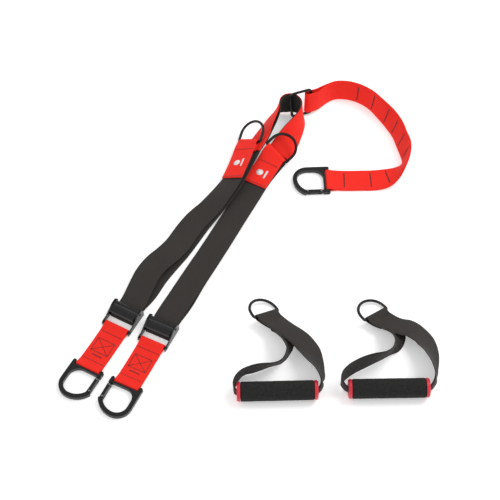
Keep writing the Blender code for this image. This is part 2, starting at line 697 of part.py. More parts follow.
# ---------------------------------------------------------------- cam buckles
def buckle_frame():
    """Two side walls and a webbing plate. X is across, Y runs up the strap, the rear pin is over the origin."""
    inner = BUCKLE_INNER / 2
    cam_z = cam_height()
    profile = [
        (-WALL_REAR, 0.3),
        (WALL_FRONT, 0.3),
        (WALL_FRONT, 11.5),
        (CAM_Y + 4.5, WALL_TOP),
        (CAM_Y - 4.5, WALL_TOP),
        (PLATE_REAR + 2, 12.5),
        (6, 7.2),
        (-2.6, 7.0),
        (-WALL_REAR, 5.4),
    ]
    right = prism(profile, inner, inner + WALL, axis="x")
    left = prism(profile, -inner - WALL, -inner, axis="x")
    low, high = PIN_HEIGHT - PLATE_THICK / 2, PIN_HEIGHT + PLATE_THICK / 2
    edge = [
        (PLATE_FRONT, low),
        (PLATE_FRONT, high),
        *arc(PLATE_REAR + PLATE_THICK / 2, PIN_HEIGHT, PLATE_THICK / 2, 90, 270, 7),
    ]
    plate = prism(edge, -inner - WALL / 2, inner + WALL / 2, axis="x")
    body = combined(plate, right, "UNION")
    body = combined(body, left, "UNION")
    reach = inner + WALL + 2
    for y, z in ((0, PIN_HEIGHT), (CAM_Y, cam_z)):
        for side in (-1, 1):
            span = sorted((side * (inner - 1), side * reach))
            hole = rod(PIN_RADIUS + CLEAR, span[0], span[1], PIN_SIDES, at=(y, z))
            body = combined(body, hole, "DIFFERENCE")
    return body


def cam_height():
    """Height of the cam pin: the teeth just meet the webbing that lies on the plate."""
    webbing_top = PIN_HEIGHT + PLATE_TURN + WEB_THICK / 2
    return webbing_top + 0.25 + CAM_RADIUS + CAM_TOOTH


def cam_lever():
    """The cam and its thumb plate in their own frame, with the pin along X through the origin."""
    half = BUCKLE_INNER / 2 - 0.8
    outline = []
    for k in range(24):
        a = math.radians(-150 + k * 12.5)
        toothed = 262 <= math.degrees(a) % 360 <= 318
        outline.append((k, a, toothed))
    points = []
    for k, a, toothed in outline:
        radius = CAM_RADIUS + (CAM_TOOTH if toothed and k % 2 else 0.0)
        points.append((radius * math.cos(a), radius * math.sin(a)))
    lever = [
        (-7.5, 4.6),
        (-CAM_LEVER + 1.2, LEVER_THICK + 1.0),
        (-CAM_LEVER, LEVER_THICK),
        (-CAM_LEVER, 0.6),
        (-CAM_LEVER + 1.0, 0.2),
        (-7.0, 1.4),
    ]
    cam = prism(points + lever, -half, half, axis="x")
    cam = combined(cam, rod(PIN_RADIUS + CLEAR, -half - 1, half + 1, PIN_SIDES), "DIFFERENCE")
    pocket = rod(CAM_COIL_RADIUS + CAM_COIL_WIRE + 0.6, half - 5.5, half + 1, PIN_SIDES)
    return combined(cam, pocket, "DIFFERENCE")


def cam_spring():
    half = BUCKLE_INNER / 2 - 0.8
    per_turn = 8
    path = []
    for k in range(CAM_COIL_TURNS * per_turn + 1):
        a = 2 * math.pi * k / per_turn
        x = half - 5.0 + 3.8 * k / (CAM_COIL_TURNS * per_turn)
        path.append((x, CAM_COIL_RADIUS * math.cos(a), CAM_COIL_RADIUS * math.sin(a)))
    return wire(path, (1, 0, 0), CAM_COIL_WIRE, SPRING_SIDES, closed=False)


def build_buckle(name, place, shapes, looks, parent):
    (x, y), degrees = place
    frame = frame_at(x, y, 0, degrees - 90)
    add(f"{name}_buckle_frame", shapes["frame"], looks["metal"], parent, frame)
    rear = frame @ Matrix.Translation(Vector((0, 0, PIN_HEIGHT)) * MM)
    add(f"{name}_buckle_rear_pin", shapes["pin"], looks["metal"], parent, rear)
    cam = frame @ Matrix.Translation(Vector((0, CAM_Y, cam_height())) * MM)
    add(f"{name}_cam_pin", shapes["cam_pin"], looks["metal"], parent, cam)
    pivot = empty(f"{name}_cam_pivot", parent, cam)
    add(f"{name}_cam_lever", shapes["cam"], looks["metal"], pivot)
    add(f"{name}_cam_spring", shapes["spring"], looks["steel"], pivot)


# ---------------------------------------------------------------- rings
def d_ring(leg):
    """Half-round ring in its own frame: bar along X through the origin, round end towards +Y."""
    half = D_INNER / 2 + RING_WIRE
    corner = RING_WIRE + 0.75
    path = [(x, 0) for x in np.linspace(-half + corner + 1, half - corner - 1, 5)]
    path += arc(half - corner, corner, corner, -60, 0, 3)
    path += arc(0, leg, half, 0, 180, 15)
    path += arc(-half + corner, corner, corner, 180, 240, 3)
    return wire([(x, y, 0) for x, y in path], (0, 0, 1), RING_WIRE, RING_SIDES)


def square_ring():
    """Rectangular ring in its own frame, long way along Y."""
    half_x = SQUARE_RING_WIDTH / 2
    half_y = D_INNER / 2 + RING_WIRE + 0.9
    inner_x, inner_y = half_x - SQUARE_RING_CORNER, half_y - SQUARE_RING_CORNER
    path = []
    for cx, cy, start in ((1, 1, 0), (-1, 1, 90), (-1, -1, 180), (1, -1, 270)):
        path += arc(cx * inner_x, cy * inner_y, SQUARE_RING_CORNER, start, start + 90, 5)
    return wire([(x, y, 0) for x, y in path], (0, 0, 1), RING_WIRE, RING_SIDES)


# ---------------------------------------------------------------- handles
def build_grip(name, place, looks, parent):
    (x, y), degrees = place
    pivot = empty(f"{name}_grip_pivot", parent, frame_at(x, y, GRIP_RADIUS + 0.05, degrees))
    half = GRIP_LENGTH / 2
    foam = [
        (-half, TUBE_RADIUS + CLEAR),
        (half, TUBE_RADIUS + CLEAR),
        (half, GRIP_RADIUS - 0.8),
        (half - 0.8, GRIP_RADIUS),
        (-half + 0.8, GRIP_RADIUS),
        (-half, GRIP_RADIUS - 0.8),
    ]
    add(f"{name}_grip_foam", tube(foam, GRIP_SIDES), looks["foam"], pivot)
    inner = TUBE_RADIUS - TUBE_WALL
    core = [(-half, inner), (half, inner), (half, TUBE_RADIUS), (-half, TUBE_RADIUS)]
    add(f"{name}_grip_tube", tube(core, GRIP_SIDES), looks["plastic"], pivot)
    start, end = CLEAR, CAP_FLANGE
    sleeve = inner - CLEAR
    cap = [
        (-CAP_SLEEVE, CAP_BORE),
        (end - 0.8, CAP_BORE),
        (end, CAP_BORE + 0.8),
        (end, GRIP_RADIUS - 1.6),
        (end - 1.6, GRIP_RADIUS - 0.2),
        (start, GRIP_RADIUS - 0.2),
        (start, sleeve),
        (-CAP_SLEEVE, sleeve),
    ]
    mesh = tube(cap, GRIP_SIDES)
    for side, turned in (("left", math.pi), ("right", 0.0)):
        placed = Matrix.Rotation(turned, 4, "Z") @ Matrix.Translation(Vector((half, 0, 0)) * MM)
        add(f"{name}_grip_cap_{side}", mesh, looks["cap"], pivot, placed)
    return pivot


def handle_webbing(routes, place, ring):
    """One closed strap: round the ring, down each side and through the grip, folded narrow in the grip."""
    (x, y), degrees = place
    a = math.radians(degrees)
    along = np.array((math.cos(a), math.sin(a), 0.0))
    centre = np.array((x, y, GRIP_RADIUS + 0.05))
    half = GRIP_LENGTH / 2 + CAP_FLANGE
    grip = [(*(centre + along * s), 0.0, 0.02, 1.0) for s in (half + 1, half - 14, 0, 14 - half, -half - 1)]
    stack = smooth_route([*off_bar(ring, routes["stack"][0]), *routes["stack"]], WEB_STEP)
    stack = squared(stack, start=2)
    lift = flare(stack, LAYER / 2, RING_WIRE + EYE_CLEAR + WEB_THICK / 2, 12.0, at_end=False)
    upper, lower = layer(stack, lift), layer(stack, -lift)
    around = turn(stack, lift[0], end=False)
    loose = [*upper[-2:], *routes["upper"], *grip, *routes["lower"][::-1], *lower[:-3:-1]]
    loose = squared(smooth_route(loose, WEB_STEP * 0.8), start=1, end=1)
    rows = np.vstack([around, upper[1:-2], loose, lower[-3:0:-1]])
    step = np.linalg.norm(np.diff(rows[:, :3], axis=0), axis=1)
    place = np.concatenate([[0], np.cumsum(step)])
    inside = np.linalg.norm(np.cross(rows[:, :3] - centre, along), axis=1) < 1.0
    edge = np.maximum(place[inside].min() - place, place - place[inside].max())
    opened = np.clip((edge - 6) / FOLD_REACH, 0, 1)
    opened *= opened * (3 - 2 * opened) / np.maximum(opened, 1e-9)
    widths = FOLDED_WIDTH + (WEB_WIDTH - FOLDED_WIDTH) * opened
    thicks = FOLDED_THICK + (WEB_THICK - FOLDED_THICK) * opened
    return ribbon(rows, True, widths, thicks, turned=np.argmin(np.abs(rows[:, :3] - centre).sum(1)))


# ---------------------------------------------------------------- straps
def buckle_turn(place):
    """The strap's way through a buckle: in over the plate, round its rear edge and out beneath it."""
    (x, y), degrees = place
    a = math.radians(degrees)
    ahead = np.array((math.cos(a), math.sin(a), 0.0))
    side = np.array((math.sin(a), -math.cos(a), 0.0))
    base = np.array((x, y, 0.0))
    over = PIN_HEIGHT + PLATE_TURN
    under = PIN_HEIGHT - PLATE_TURN
    rows = [(PLATE_FRONT + 9, over + 0.6), (PLATE_FRONT, over), (CAM_Y, over), (PLATE_REAR + 4, over)]
    rows += [
        (PLATE_REAR + PLATE_THICK / 2 - PLATE_TURN * math.sin(t), PIN_HEIGHT + PLATE_TURN * math.cos(t))
        for t in np.linspace(0, math.pi, 7)
    ]
    rows += [(PLATE_REAR + 5, under), (CAM_Y, 1.1), (PLATE_FRONT + 6, 1.0)]
    return [(*(base + ahead * v + np.array((0, 0, w))), *side) for v, w in rows]


def flipped_across(rows):
    return [(*row[:3], *(-c for c in row[3:])) for row in rows]


def main_webbing_rows():
    """From the left pull tab down and round the left buckle, up through the yoke and back the other way."""
    left = flipped_across(LEFT_TAB[1:] + LEFT_OVER)
    left += buckle_turn(BUCKLES["left"]) + flipped_across(LEFT_UNDER + YOKE[:-1])
    right = flipped_across(YOKE[-1:] + RIGHT_UNDER)
    turned = [(*row[:3], *(-c for c in row[3:])) for row in buckle_turn(BUCKLES["right"])[::-1]]
    right += turned + flipped_across(RIGHT_OVER + RIGHT_TAB[:-1])
    return squared(smooth_route(left + right, WEB_STEP))


def yoke_cover_rows():
    """The red webbing sewn over the yoke, on the outside of the black one, standing off it on the left arm."""
    rows = squared(smooth_route(flipped_across(YOKE[:-1]), WEB_STEP))
    share = np.linspace(0, 1, len(rows))
    ease = np.clip(1 - np.abs(share - 0.24) / 0.16, 0, 1)
    return layer(rows, LAYER + 3.0 * ease * ease * (3 - 2 * ease))


def tab_rows(rows, ring, tail):
    """A pull tab: its upper leaf lies on the tail, goes round the ring's bar and comes back underneath."""
    route = squared(smooth_route([*rows, *off_bar(ring, rows[-1])[::-1]], WEB_STEP), end=2)
    radius = RING_WIRE + EYE_CLEAR + WEB_THICK / 2
    lift = flare(route, LAYER + 0.5, radius, 14.0)
    upper, lower = layer(route, lift), layer(route, -lift)[::-1]
    return np.vstack([upper[:-1], turn(route, radius), lower[1:tail]])


def build_straps(looks, parent):
    add("main_webbing", ribbon(main_webbing_rows()), looks["black_web"], parent)
    add("yoke_cover", ribbon(yoke_cover_rows()), looks["red_web"], parent)
    left_tab = tab_rows(flipped_across(LEFT_TAB[::-1]), PULL_RINGS["left"], 4)
    add("left_pull_tab", ribbon(left_tab), looks["red_web"], parent)
    add("right_pull_tab", ribbon(tab_rows(RIGHT_TAB, PULL_RINGS["right"], 3)), looks["red_web"], parent)
    route = squared(smooth_route(ANCHOR_ROUTE, WEB_STEP), end=2)
    add("anchor_strap", closed_strap(route, (ANCHOR_EYE, EYE_RADIUS), (46.0, 12.0)), looks["red_web"], parent)
    for name, ((x, y), degrees) in BUCKLES.items():
        a = math.radians(degrees)
        ahead = np.array((math.cos(a), math.sin(a), 0.0))
        side = (math.sin(a), -math.cos(a), 0.0)
        start = np.array((x, y, 0.0))
        low = LAYER / 2 + WEB_THICK / 2 + 0.1
        heights = [(0, PIN_HEIGHT), (14, low + 0.4), (26, low)]
        heights += [(END_STRAP - s, z) for s, z in heights[::-1]]
        route = [(*(start - ahead * s + np.array((0, 0, z))), *side) for s, z in heights]
        route = smooth_route(route, WEB_STEP)
        add(f"{name}_end_strap", closed_strap(route, (EYE_RADIUS, EYE_RADIUS), (12.0, 12.0)), looks["red_web"], parent)


def main():
    for item in list(bpy.data.objects):
        bpy.data.objects.remove(item)
    looks = {
        "metal": material("black_metal", BLACK_METAL, 0.3, 0.9),
        "steel": material("bright_steel", STEEL, 0.3, 1.0),
        "red_web": material("red_webbing", RED, 0.75),
        "black_web": material("black_webbing", CHARCOAL, 0.8),
        "foam": material("grip_foam", FOAM, 0.9),
        "cap": material("red_cap", CAP_RED, 0.4),
        "plastic": material("tube_plastic", CHARCOAL, 0.5),
    }
    root = empty("assembly", None)
    body, gate_x, hinge = carabiner_body()
    carabiner = {
        "body": body,
        "gate_x": gate_x,
        "hinge": hinge,
        "gate": carabiner_gate(),
        "pin": webbing_pin(CARABINER_WIDTH / 2 + 0.4),
        "gate_pin": gate_pin(),
        "latch_pin": gate_pin(),
        "spring": gate_spring(),
    }
    build_carabiner("anchor", ANCHOR_CARABINER, False, carabiner, looks, root)
    for name, (place, degrees) in BUCKLES.items():
        a = math.radians(degrees)
        end = (place[0] - END_STRAP * math.cos(a), place[1] - END_STRAP * math.sin(a))
        build_carabiner(name, (end, degrees + 180), name == "right", carabiner, looks, root)
    buckle = {
        "frame": buckle_frame(),
        "pin": webbing_pin(BUCKLE_INNER / 2 + WALL + 0.9),
        "cam_pin": webbing_pin(BUCKLE_INNER / 2 + WALL + 0.9),
        "cam": cam_lever(),
        "spring": cam_spring(),
    }
    for name, place in BUCKLES.items():
        build_buckle(name, place, buckle, looks, root)
    pull_mesh, handle_mesh = d_ring(PULL_D_LEG), d_ring(HANDLE_D_LEG)
    for name, place in PULL_RINGS.items():
        pivot = empty(f"{name}_pull_ring_pivot", root, axes_frame(*place))
        add(f"{name}_pull_ring", pull_mesh, looks["metal"], pivot)
    add("anchor_ring", square_ring(), looks["metal"], root, axes_frame(*SQUARE_RING))
    build_straps(looks, root)
    for name, place in GRIPS.items():
        build_grip(f"{name}_handle", place, looks, root)
        pivot = empty(f"{name}_handle_ring_pivot", root, axes_frame(*HANDLE_RINGS[name]))
        add(f"{name}_handle_ring", handle_mesh, looks["metal"], pivot)
        webbing = handle_webbing(HANDLE_ROUTES[name], place, HANDLE_RINGS[name])
        add(f"{name}_handle_webbing", webbing, looks["black_web"], root)
    bpy.context.view_layer.update()
    corners = np.array(
        [item.matrix_world @ v.co for item in bpy.data.objects if item.type == "MESH" for v in item.data.vertices]
    )
    low, high = corners.min(0), corners.max(0)
    root.location = (-(low[0] + high[0]) / 2, -(low[1] + high[1]) / 2, -low[2])
    bpy.context.view_layer.update()


main()
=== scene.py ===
"""Looks of the suspension strap trainer: woven and stitched webbing, black gloss metal, foam grips.

Strap routes are in millimetres in the set's own layout, and move into the row frame when a mesh is made.
"""

import json
import math

import bmesh
import bpy
import numpy as np
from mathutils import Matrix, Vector


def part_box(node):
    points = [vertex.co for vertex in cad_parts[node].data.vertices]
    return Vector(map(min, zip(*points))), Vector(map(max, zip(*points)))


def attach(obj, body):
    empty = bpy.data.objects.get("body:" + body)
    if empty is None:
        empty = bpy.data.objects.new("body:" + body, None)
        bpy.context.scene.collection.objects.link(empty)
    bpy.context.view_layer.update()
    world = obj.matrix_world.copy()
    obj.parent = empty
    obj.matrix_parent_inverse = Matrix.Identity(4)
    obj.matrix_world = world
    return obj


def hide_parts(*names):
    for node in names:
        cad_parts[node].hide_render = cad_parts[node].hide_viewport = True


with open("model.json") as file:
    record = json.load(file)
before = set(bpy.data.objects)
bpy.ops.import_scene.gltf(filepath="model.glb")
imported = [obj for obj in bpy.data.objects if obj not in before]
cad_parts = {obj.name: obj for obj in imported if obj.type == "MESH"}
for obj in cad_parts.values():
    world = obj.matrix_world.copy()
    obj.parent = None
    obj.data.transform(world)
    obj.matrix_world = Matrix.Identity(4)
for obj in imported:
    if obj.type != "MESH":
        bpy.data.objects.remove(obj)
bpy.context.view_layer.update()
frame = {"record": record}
MM = 0.001

# ---- webbing
WEB_WIDTH = 38.0  # nominal 1 1/2 inch webbing
WEB_THICK = 1.4
WEB_GAP = 0.3  # between two layers, and between a layer and what it lies on
WEB_STEP = 8.0  # spacing of a strap's sections
LAYER = WEB_THICK + WEB_GAP
FINE_STEP = 2.5  # spacing of a shown strap's sections
REST_GAP = 0.05  # between the floor and what lies on it
FACE = LAYER / 2 + WEB_THICK / 2  # a doubled strap's outer face from its middle

# ---- pins, rings and buckles
PIN_RADIUS = 1.8
EYE_CLEAR = 0.25
BAR_LEAD = 7.0  # webbing leaves a ring's bar squarely for this far
EYE_RADIUS = PIN_RADIUS + EYE_CLEAR + WEB_THICK / 2  # middle of the webbing round a pin
PIN_HEIGHT = EYE_RADIUS + WEB_THICK / 2 + REST_GAP  # a webbing eye just clears the floor
EYE_REACH = 12.0  # over which a doubled strap's layers part to go round a pin or a handle ring
RING_WIRE = 2.25  # radius of the ring wire
RING_EYE = RING_WIRE + EYE_CLEAR + WEB_THICK / 2  # middle of the webbing round a ring's bar
ANCHOR_EYE = 4.6  # middle of the webbing round the loose eye the square ring hangs in
ANCHOR_EYE_REACH = 46.0
TAB_LIFT = LAYER + 0.5  # of a pull tab's two leaves off the webbing between them
TAB_EYE_REACH = 14.0
PLATE_REAR = 14.0
PLATE_FRONT = 36.0
PLATE_THICK = 2.0
PLATE_TURN = PLATE_THICK / 2 + EYE_CLEAR + WEB_THICK / 2  # middle of the webbing round the plate's rear edge
CAM_Y = 29.0

# ---- handles
GRIP_LENGTH = 103.0  # foam, between the end caps
GRIP_RADIUS = 14.0
GRIP_HEIGHT = GRIP_RADIUS + REST_GAP  # middle of a grip above the floor
TUBE_RADIUS = 11.2
CAP_FLANGE = 5.2
FOLDED_WIDTH = 14.5  # the webbing is folded lengthwise inside the grip
FOLDED_THICK = 3.2
FOLD_START = 6.0  # how far outside the grip it stays folded
FOLD_REACH = 34.0  # over which it opens out to its full width
CLEAR = 0.3  # between the tube and the foam

# ---- where things lie, x and y, with the direction each one points in degrees from +X
END_STRAP = 77.0  # between the carabiner pin and the buckle's rear pin
BUCKLES = {"left": ((-192.0, -138.0), 61.5), "right": ((-139.0, -164.0), 64.0)}
GRIPS = {"left": ((38.0, -248.8), 1.5), "right": ((193.3, -244.8), 1.0)}

# Pull rings: middle of the straight bar, along the bar, and towards the round end.
PULL_RINGS = {
    "left": ((-0.8, 198.2, 14.4), (0.77, -0.40, 0.50), (0.26, 0.91, 0.31)),
    "right": ((40.5, 175.0, 13.6), (0.68, -0.69, -0.26), (0.68, 0.65, 0.36)),
}
HANDLE_RINGS = {
    "left": ((24.0, -120.5, 10.0), (-0.79, -0.50, 0.35), (-0.48, 0.88, -0.04)),
    "right": ((182.5, -120.5, 8.8), (-0.77, -0.60, 0.22), (-0.53, 0.84, -0.06)),
}

# Strap routes: x, y, z of the middle, then the direction across the strap.
ANCHOR_ROUTE = [
    (92, 272.4, 24.4, 0.02, 0.16, 0.99),
    (105, 277.2, 23.6, 0.02, 0.16, 0.99),
    (120, 289.5, 21.8, -0.03, 0.13, 0.99),
    (138, 300, 20.4, 0.0, 0.12, 0.99),
    (155, 300, 20.2, 0.03, 0.13, 0.99),
    (174, 294, 20.0, 0.06, 0.13, 0.99),
    (192, 281.5, 19.9, 0.12, 0.12, 0.985),
    (208.5, 261, 19.5, 0.22, 0.10, 0.97),
    (222.5, 240.5, 19.2, 0.32, 0.08, 0.94),
    (233.5, 217.5, 19.2, 0.32, 0.02, 0.94),
    (238.5, 198, 19.2, 0.33, -0.05, 0.93),
    (243, 180, 19.6, 0.33, -0.10, 0.93),
    (243.5, 164, 19.4, 0.20, -0.22, 0.95),
    (238, 150.2, 17.9, 0.15, -0.52, 0.84),
    (228, 139.9, 11.2, 0.05, -0.88, 0.45),
    (214, 134.0, 4.7, 0.0, -0.99, 0.12),
    (196, 131, 2.1, 0.0, -1.0, 0.0),
    (170, 130, 2.0, 0.0, -1.0, 0.0),
    (146, 129.7, 2.0, 0.02, -1.0, 0.0),
    (134, 129.95, 2.4, 0.04, -1.0, 0.0),
    (120.3, 129.4, PIN_HEIGHT, 0.04, -1.0, 0.0),
]
LEFT_UNDER = [
    (-155, -78, 1.1, -0.87, 0.50, 0.0),
    (-140, -50, 1.1, -0.86, 0.52, 0.0),
    (-125, -27, 1.1, -0.85, 0.53, 0.0),
    (-109, -4, 1.1, -0.85, 0.53, 0.0),
    (-94, 21, 1.2, -0.86, 0.51, 0.0),
    (-79, 46, 1.8, -0.87, 0.50, -0.02),
    (-61, 70, 4.4, -0.86, 0.48, -0.14),
    (-44, 92, 7.0, -0.83, 0.46, -0.30),
    (-28, 117, 9.5, -0.79, 0.44, -0.42),
    (-16, 141, 11.0, -0.78, 0.40, -0.48),
    (-6, 163, 11.2, -0.78, 0.36, -0.50),
]
LEFT_OVER = [
    (-36.5, 108, 13.4, -0.80, 0.41, -0.40),
    (-46.5, 93, 11.8, -0.82, 0.44, -0.32),
    (-63, 71, 8.8, -0.84, 0.49, -0.18),
    (-82, 50, 6.4, -0.86, 0.50, -0.05),
    (-97, 26, 6.6, -0.86, 0.50, 0.0),
    (-108, 5, 8.4, -0.83, 0.54, 0.0),
    (-122, -14, 10.2, -0.80, 0.58, 0.0),
    (-139, -32, 10.4, -0.82, 0.55, 0.0),
    (-150, -48, 9.6, -0.85, 0.50, 0.0),
    (-160, -72, 8.0, -0.88, 0.47, 0.0),
]
LEFT_TAB = [
    (-6, 185, 16.2, -0.79, 0.42, -0.45),
    (-10.5, 171, 15.6, -0.79, 0.40, -0.47),
    (-17.5, 149, 15.8, -0.79, 0.37, -0.48),
    (-27, 124, 14.8, -0.79, 0.38, -0.47),
]
YOKE = [
    (3, 184, 11.0, -0.80, 0.28, -0.50),
    (14, 199, 13.0, -0.75, 0.25, -0.60),
    (22.5, 213, 15.4, -0.70, 0.20, -0.68),
    (33, 230, 18.0, -0.56, 0.14, -0.81),
    (40.5, 248, 20.4, -0.45, 0.12, -0.88),
    (46, 261.5, 22.4, -0.25, 0.04, -0.96),
    (57, 268.6, 23.8, 0.0, -0.12, -0.99),
    (69.5, 269, 24.2, 0.03, -0.12, -0.99),
    (79.5, 261.5, 23.8, 0.06, -0.06, -0.99),
    (82, 248, 21.8, 0.15, -0.05, -0.98),
    (76.5, 231.5, 18.5, 0.34, -0.10, -0.93),
    (66.5, 214.8, 15.0, 0.58, -0.24, -0.76),
    (56, 197.9, 9.0, 0.80, -0.38, -0.42),
    (44.5, 180.5, 3.6, 0.88, -0.44, -0.12),
    (30.5, 159.5, 1.6, 0.89, -0.45, 0.0),
]
RIGHT_UNDER = [
    (14, 134, 1.3, 0.89, -0.45, 0.0),
    (-3, 101, 1.1, 0.89, -0.45, 0.0),
    (-23, 62, 1.1, 0.89, -0.45, 0.0),
    (-43, 22, 1.1, 0.89, -0.46, 0.0),
    (-63, -17, 1.1, 0.88, -0.46, 0.0),
    (-83, -55, 1.1, 0.88, -0.46, 0.0),
    (-102, -95, 1.1, 0.90, -0.44, 0.0),
]
RIGHT_OVER = [
    (-101, -90, 7.4, 0.89, -0.45, 0.0),
    (-83, -56, 7.4, 0.88, -0.46, 0.0),
    (-62, -16, 5.6, 0.88, -0.46, 0.0),
    (-43, 21, 4.6, 0.89, -0.46, 0.0),
    (-21, 64, 4.4, 0.89, -0.45, 0.0),
    (-1, 103, 4.4, 0.89, -0.45, 0.0),
]
RIGHT_TAB = [
    (7, 119, 4.8, 0.89, -0.45, 0.0),
    (17, 138, 5.4, 0.88, -0.46, -0.03),
    (27, 156, 7.0, 0.84, -0.53, -0.06),
    (33.5, 167, 10.2, 0.78, -0.60, -0.14),
]
# Handle webbing: both layers together from the ring to where they part, then each layer to its grip end.
HANDLE_ROUTES = {
    "left": {
        "stack": [
            (35, -132, 9.8, -0.72, -0.57, 0.40),
            (43.5, -139.5, 9.8, -0.68, -0.60, 0.43),
        ],
        "upper": [
            (53, -146, 9.4, -0.67, -0.60, 0.43),
            (61.5, -152.5, 9.2, -0.71, -0.57, 0.40),
            (70, -160, 9.4, -0.74, -0.54, 0.39),
            (78, -170, 9.8, -0.73, -0.53, 0.41),
            (84, -180, 10.6, -0.80, -0.38, 0.44),
            (88, -192, 12.6, -0.82, -0.12, 0.56),
            (92, -205, 15.6, -0.70, -0.02, 0.71),
            (95.5, -217, 18.0, -0.52, 0.06, 0.85),
            (98.5, -229, 19.4, -0.28, 0.08, 0.96),
            (100.5, -239, 17.4, -0.10, 0.06, 1.0),
        ],
        "lower": [
            (47, -149, 9.3, -0.72, -0.52, 0.46),
            (49, -158, 11.8, -0.74, -0.28, 0.60),
            (49.5, -167, 14.8, -0.64, 0.04, 0.76),
            (51, -176.5, 18.6, -0.36, 0.10, 0.92),
            (52.5, -186, 20.2, -0.08, 0.04, 1.0),
            (49.5, -196, 20.2, 0.06, -0.12, 0.99),
            (42.5, -205, 19.4, 0.10, -0.32, 0.94),
            (31, -209.5, 19.0, 0.10, -0.36, 0.92),
            (18, -213, 19.4, 0.10, -0.26, 0.96),
            (4, -217, 19.8, 0.05, -0.20, 0.98),
            (-9, -222, 19.8, 0.06, -0.24, 0.97),
            (-17, -230.5, 19.4, 0.0, -0.16, 0.98),
            (-22, -241, 17.4, -0.06, -0.02, 1.0),
        ],
    },
    "right": {
        "stack": [
            (193.5, -129.5, 8.2, -0.74, -0.61, 0.26),
            (202, -135, 8.6, -0.68, -0.66, 0.31),
        ],
        "upper": [
            (212, -139.5, 9.6, -0.64, -0.69, 0.33),
            (220, -142, 9.4, -0.60, -0.73, 0.33),
            (228, -143, 8.8, -0.58, -0.74, 0.34),
            (239, -152, 9.6, -0.70, -0.60, 0.40),
            (248, -163, 10.8, -0.76, -0.42, 0.47),
            (253, -177, 12.4, -0.82, -0.06, 0.56),
            (256, -192, 16.0, -0.65, 0.06, 0.75),
            (257.5, -206, 18.8, -0.45, 0.09, 0.89),
            (259, -220, 20.2, -0.25, 0.06, 0.97),
            (259.5, -231.5, 18.4, -0.10, 0.05, 1.0),
        ],
        "lower": [
            (205.5, -143.2, 8.2, -0.70, -0.56, 0.40),
            (206.5, -151.8, 10.8, -0.74, -0.40, 0.54),
            (207.5, -160, 14.4, -0.66, -0.06, 0.75),
            (207.5, -169.5, 18.2, -0.38, 0.08, 0.92),
            (205.5, -179, 20.2, -0.10, 0.0, 1.0),
            (199.5, -187.5, 19.8, 0.06, -0.20, 0.97),
            (190, -194.5, 19.8, 0.08, -0.22, 0.96),
            (176, -200, 20.2, 0.04, -0.12, 0.99),
            (161, -206.5, 20.4, 0.0, -0.04, 1.0),
            (147, -214, 20.4, 0.0, -0.02, 1.0),
            (135, -223, 20.0, 0.0, -0.04, 0.99),
            (127.5, -235, 17.8, -0.04, 0.0, 1.0),
        ],
    },
}


# ---------------------------------------------------------------- routes
def eased(share):
    """From 0 to 1 with a level start and end."""
    return share * share * (3 - 2 * share)


def heading(degrees):
    """Level directions: ahead, and to the right of it."""
    a = math.radians(degrees)
    return np.array((math.cos(a), math.sin(a), 0.0)), np.array((math.sin(a), -math.cos(a), 0.0))


def distances(points):
    """How far along a line of points each one is."""
    return np.concatenate([[0], np.cumsum(np.linalg.norm(np.diff(points, axis=0), axis=1))])


def smooth_route(rows, step, closed=False):
    """A smooth curve through the rows, by the distance between their places, read every step."""
    rows = np.array(rows, float)
    if closed:
        rows = np.vstack([rows[-2:], rows, rows[:3]])
    gap = np.linalg.norm(np.diff(rows[:, :3], axis=0), axis=1)
    slope = np.diff(rows, axis=0) / gap[:, None]
    lean = np.empty_like(rows)
    lean[1:-1] = (gap[:-1, None] * slope[1:] + gap[1:, None] * slope[:-1]) / (gap[:-1] + gap[1:])[:, None]
    lean[0] = 1.5 * slope[0] - 0.5 * lean[1]
    lean[-1] = 1.5 * slope[-1] - 0.5 * lean[-2]
    first, last = (2, len(rows) - 3) if closed else (0, len(rows) - 1)
    out = []
    for i in range(first, last):
        count = max(1, round(gap[i] / step))
        for k in range(count):
            u = k / count
            out.append(
                (2 * u**3 - 3 * u**2 + 1) * rows[i]
                + (u**3 - 2 * u**2 + u) * gap[i] * lean[i]
                + (3 * u**2 - 2 * u**3) * rows[i + 1]
                + (u**3 - u**2) * gap[i] * lean[i + 1]
            )
    if not closed:
        out.append(rows[-1])
    return np.array(out)


def strap_frames(rows, closed=False):
    """Middle, direction along, direction across and upper normal at each row of a route."""
    middle = rows[:, :3]
    along = np.roll(middle, -1, 0) - np.roll(middle, 1, 0)
    if not closed:
        along[0] = middle[1] - middle[0]
        along[-1] = middle[-1] - middle[-2]
    along /= np.linalg.norm(along, axis=1)[:, None]
    across = rows[:, 3:6] - (rows[:, 3:6] * along).sum(1)[:, None] * along
    across /= np.linalg.norm(across, axis=1)[:, None]
    return middle, along, across, np.cross(across, along)


def frames_of(rows, closed=False):
    """Middle, direction across as the route gives it, and upper normal at each row."""
    middle, along, _, _ = strap_frames(rows, closed)
    across = rows[:, 3:6] / np.linalg.norm(rows[:, 3:6], axis=1)[:, None]
    normal = np.cross(across, along)
    normal /= np.linalg.norm(normal, axis=1)[:, None]
    return middle, across, normal


def squared(rows, start=0, end=0):
    """The same route with its across directions made square to it, but for a few rows beside a bar."""
    middle, _, across, _ = strap_frames(rows)
    across[:start] = rows[:start, 3:6]
    across[len(rows) - end :] = rows[len(rows) - end :, 3:6]
    return np.hstack([middle, across])


def layer(rows, lift):
    """The same route lifted off itself along its upper normal, by one amount or one for each row."""
    middle, across, normal = frames_of(rows)
    lift = np.broadcast_to(lift, len(rows))
    return np.hstack([middle + normal * lift[:, None], across])


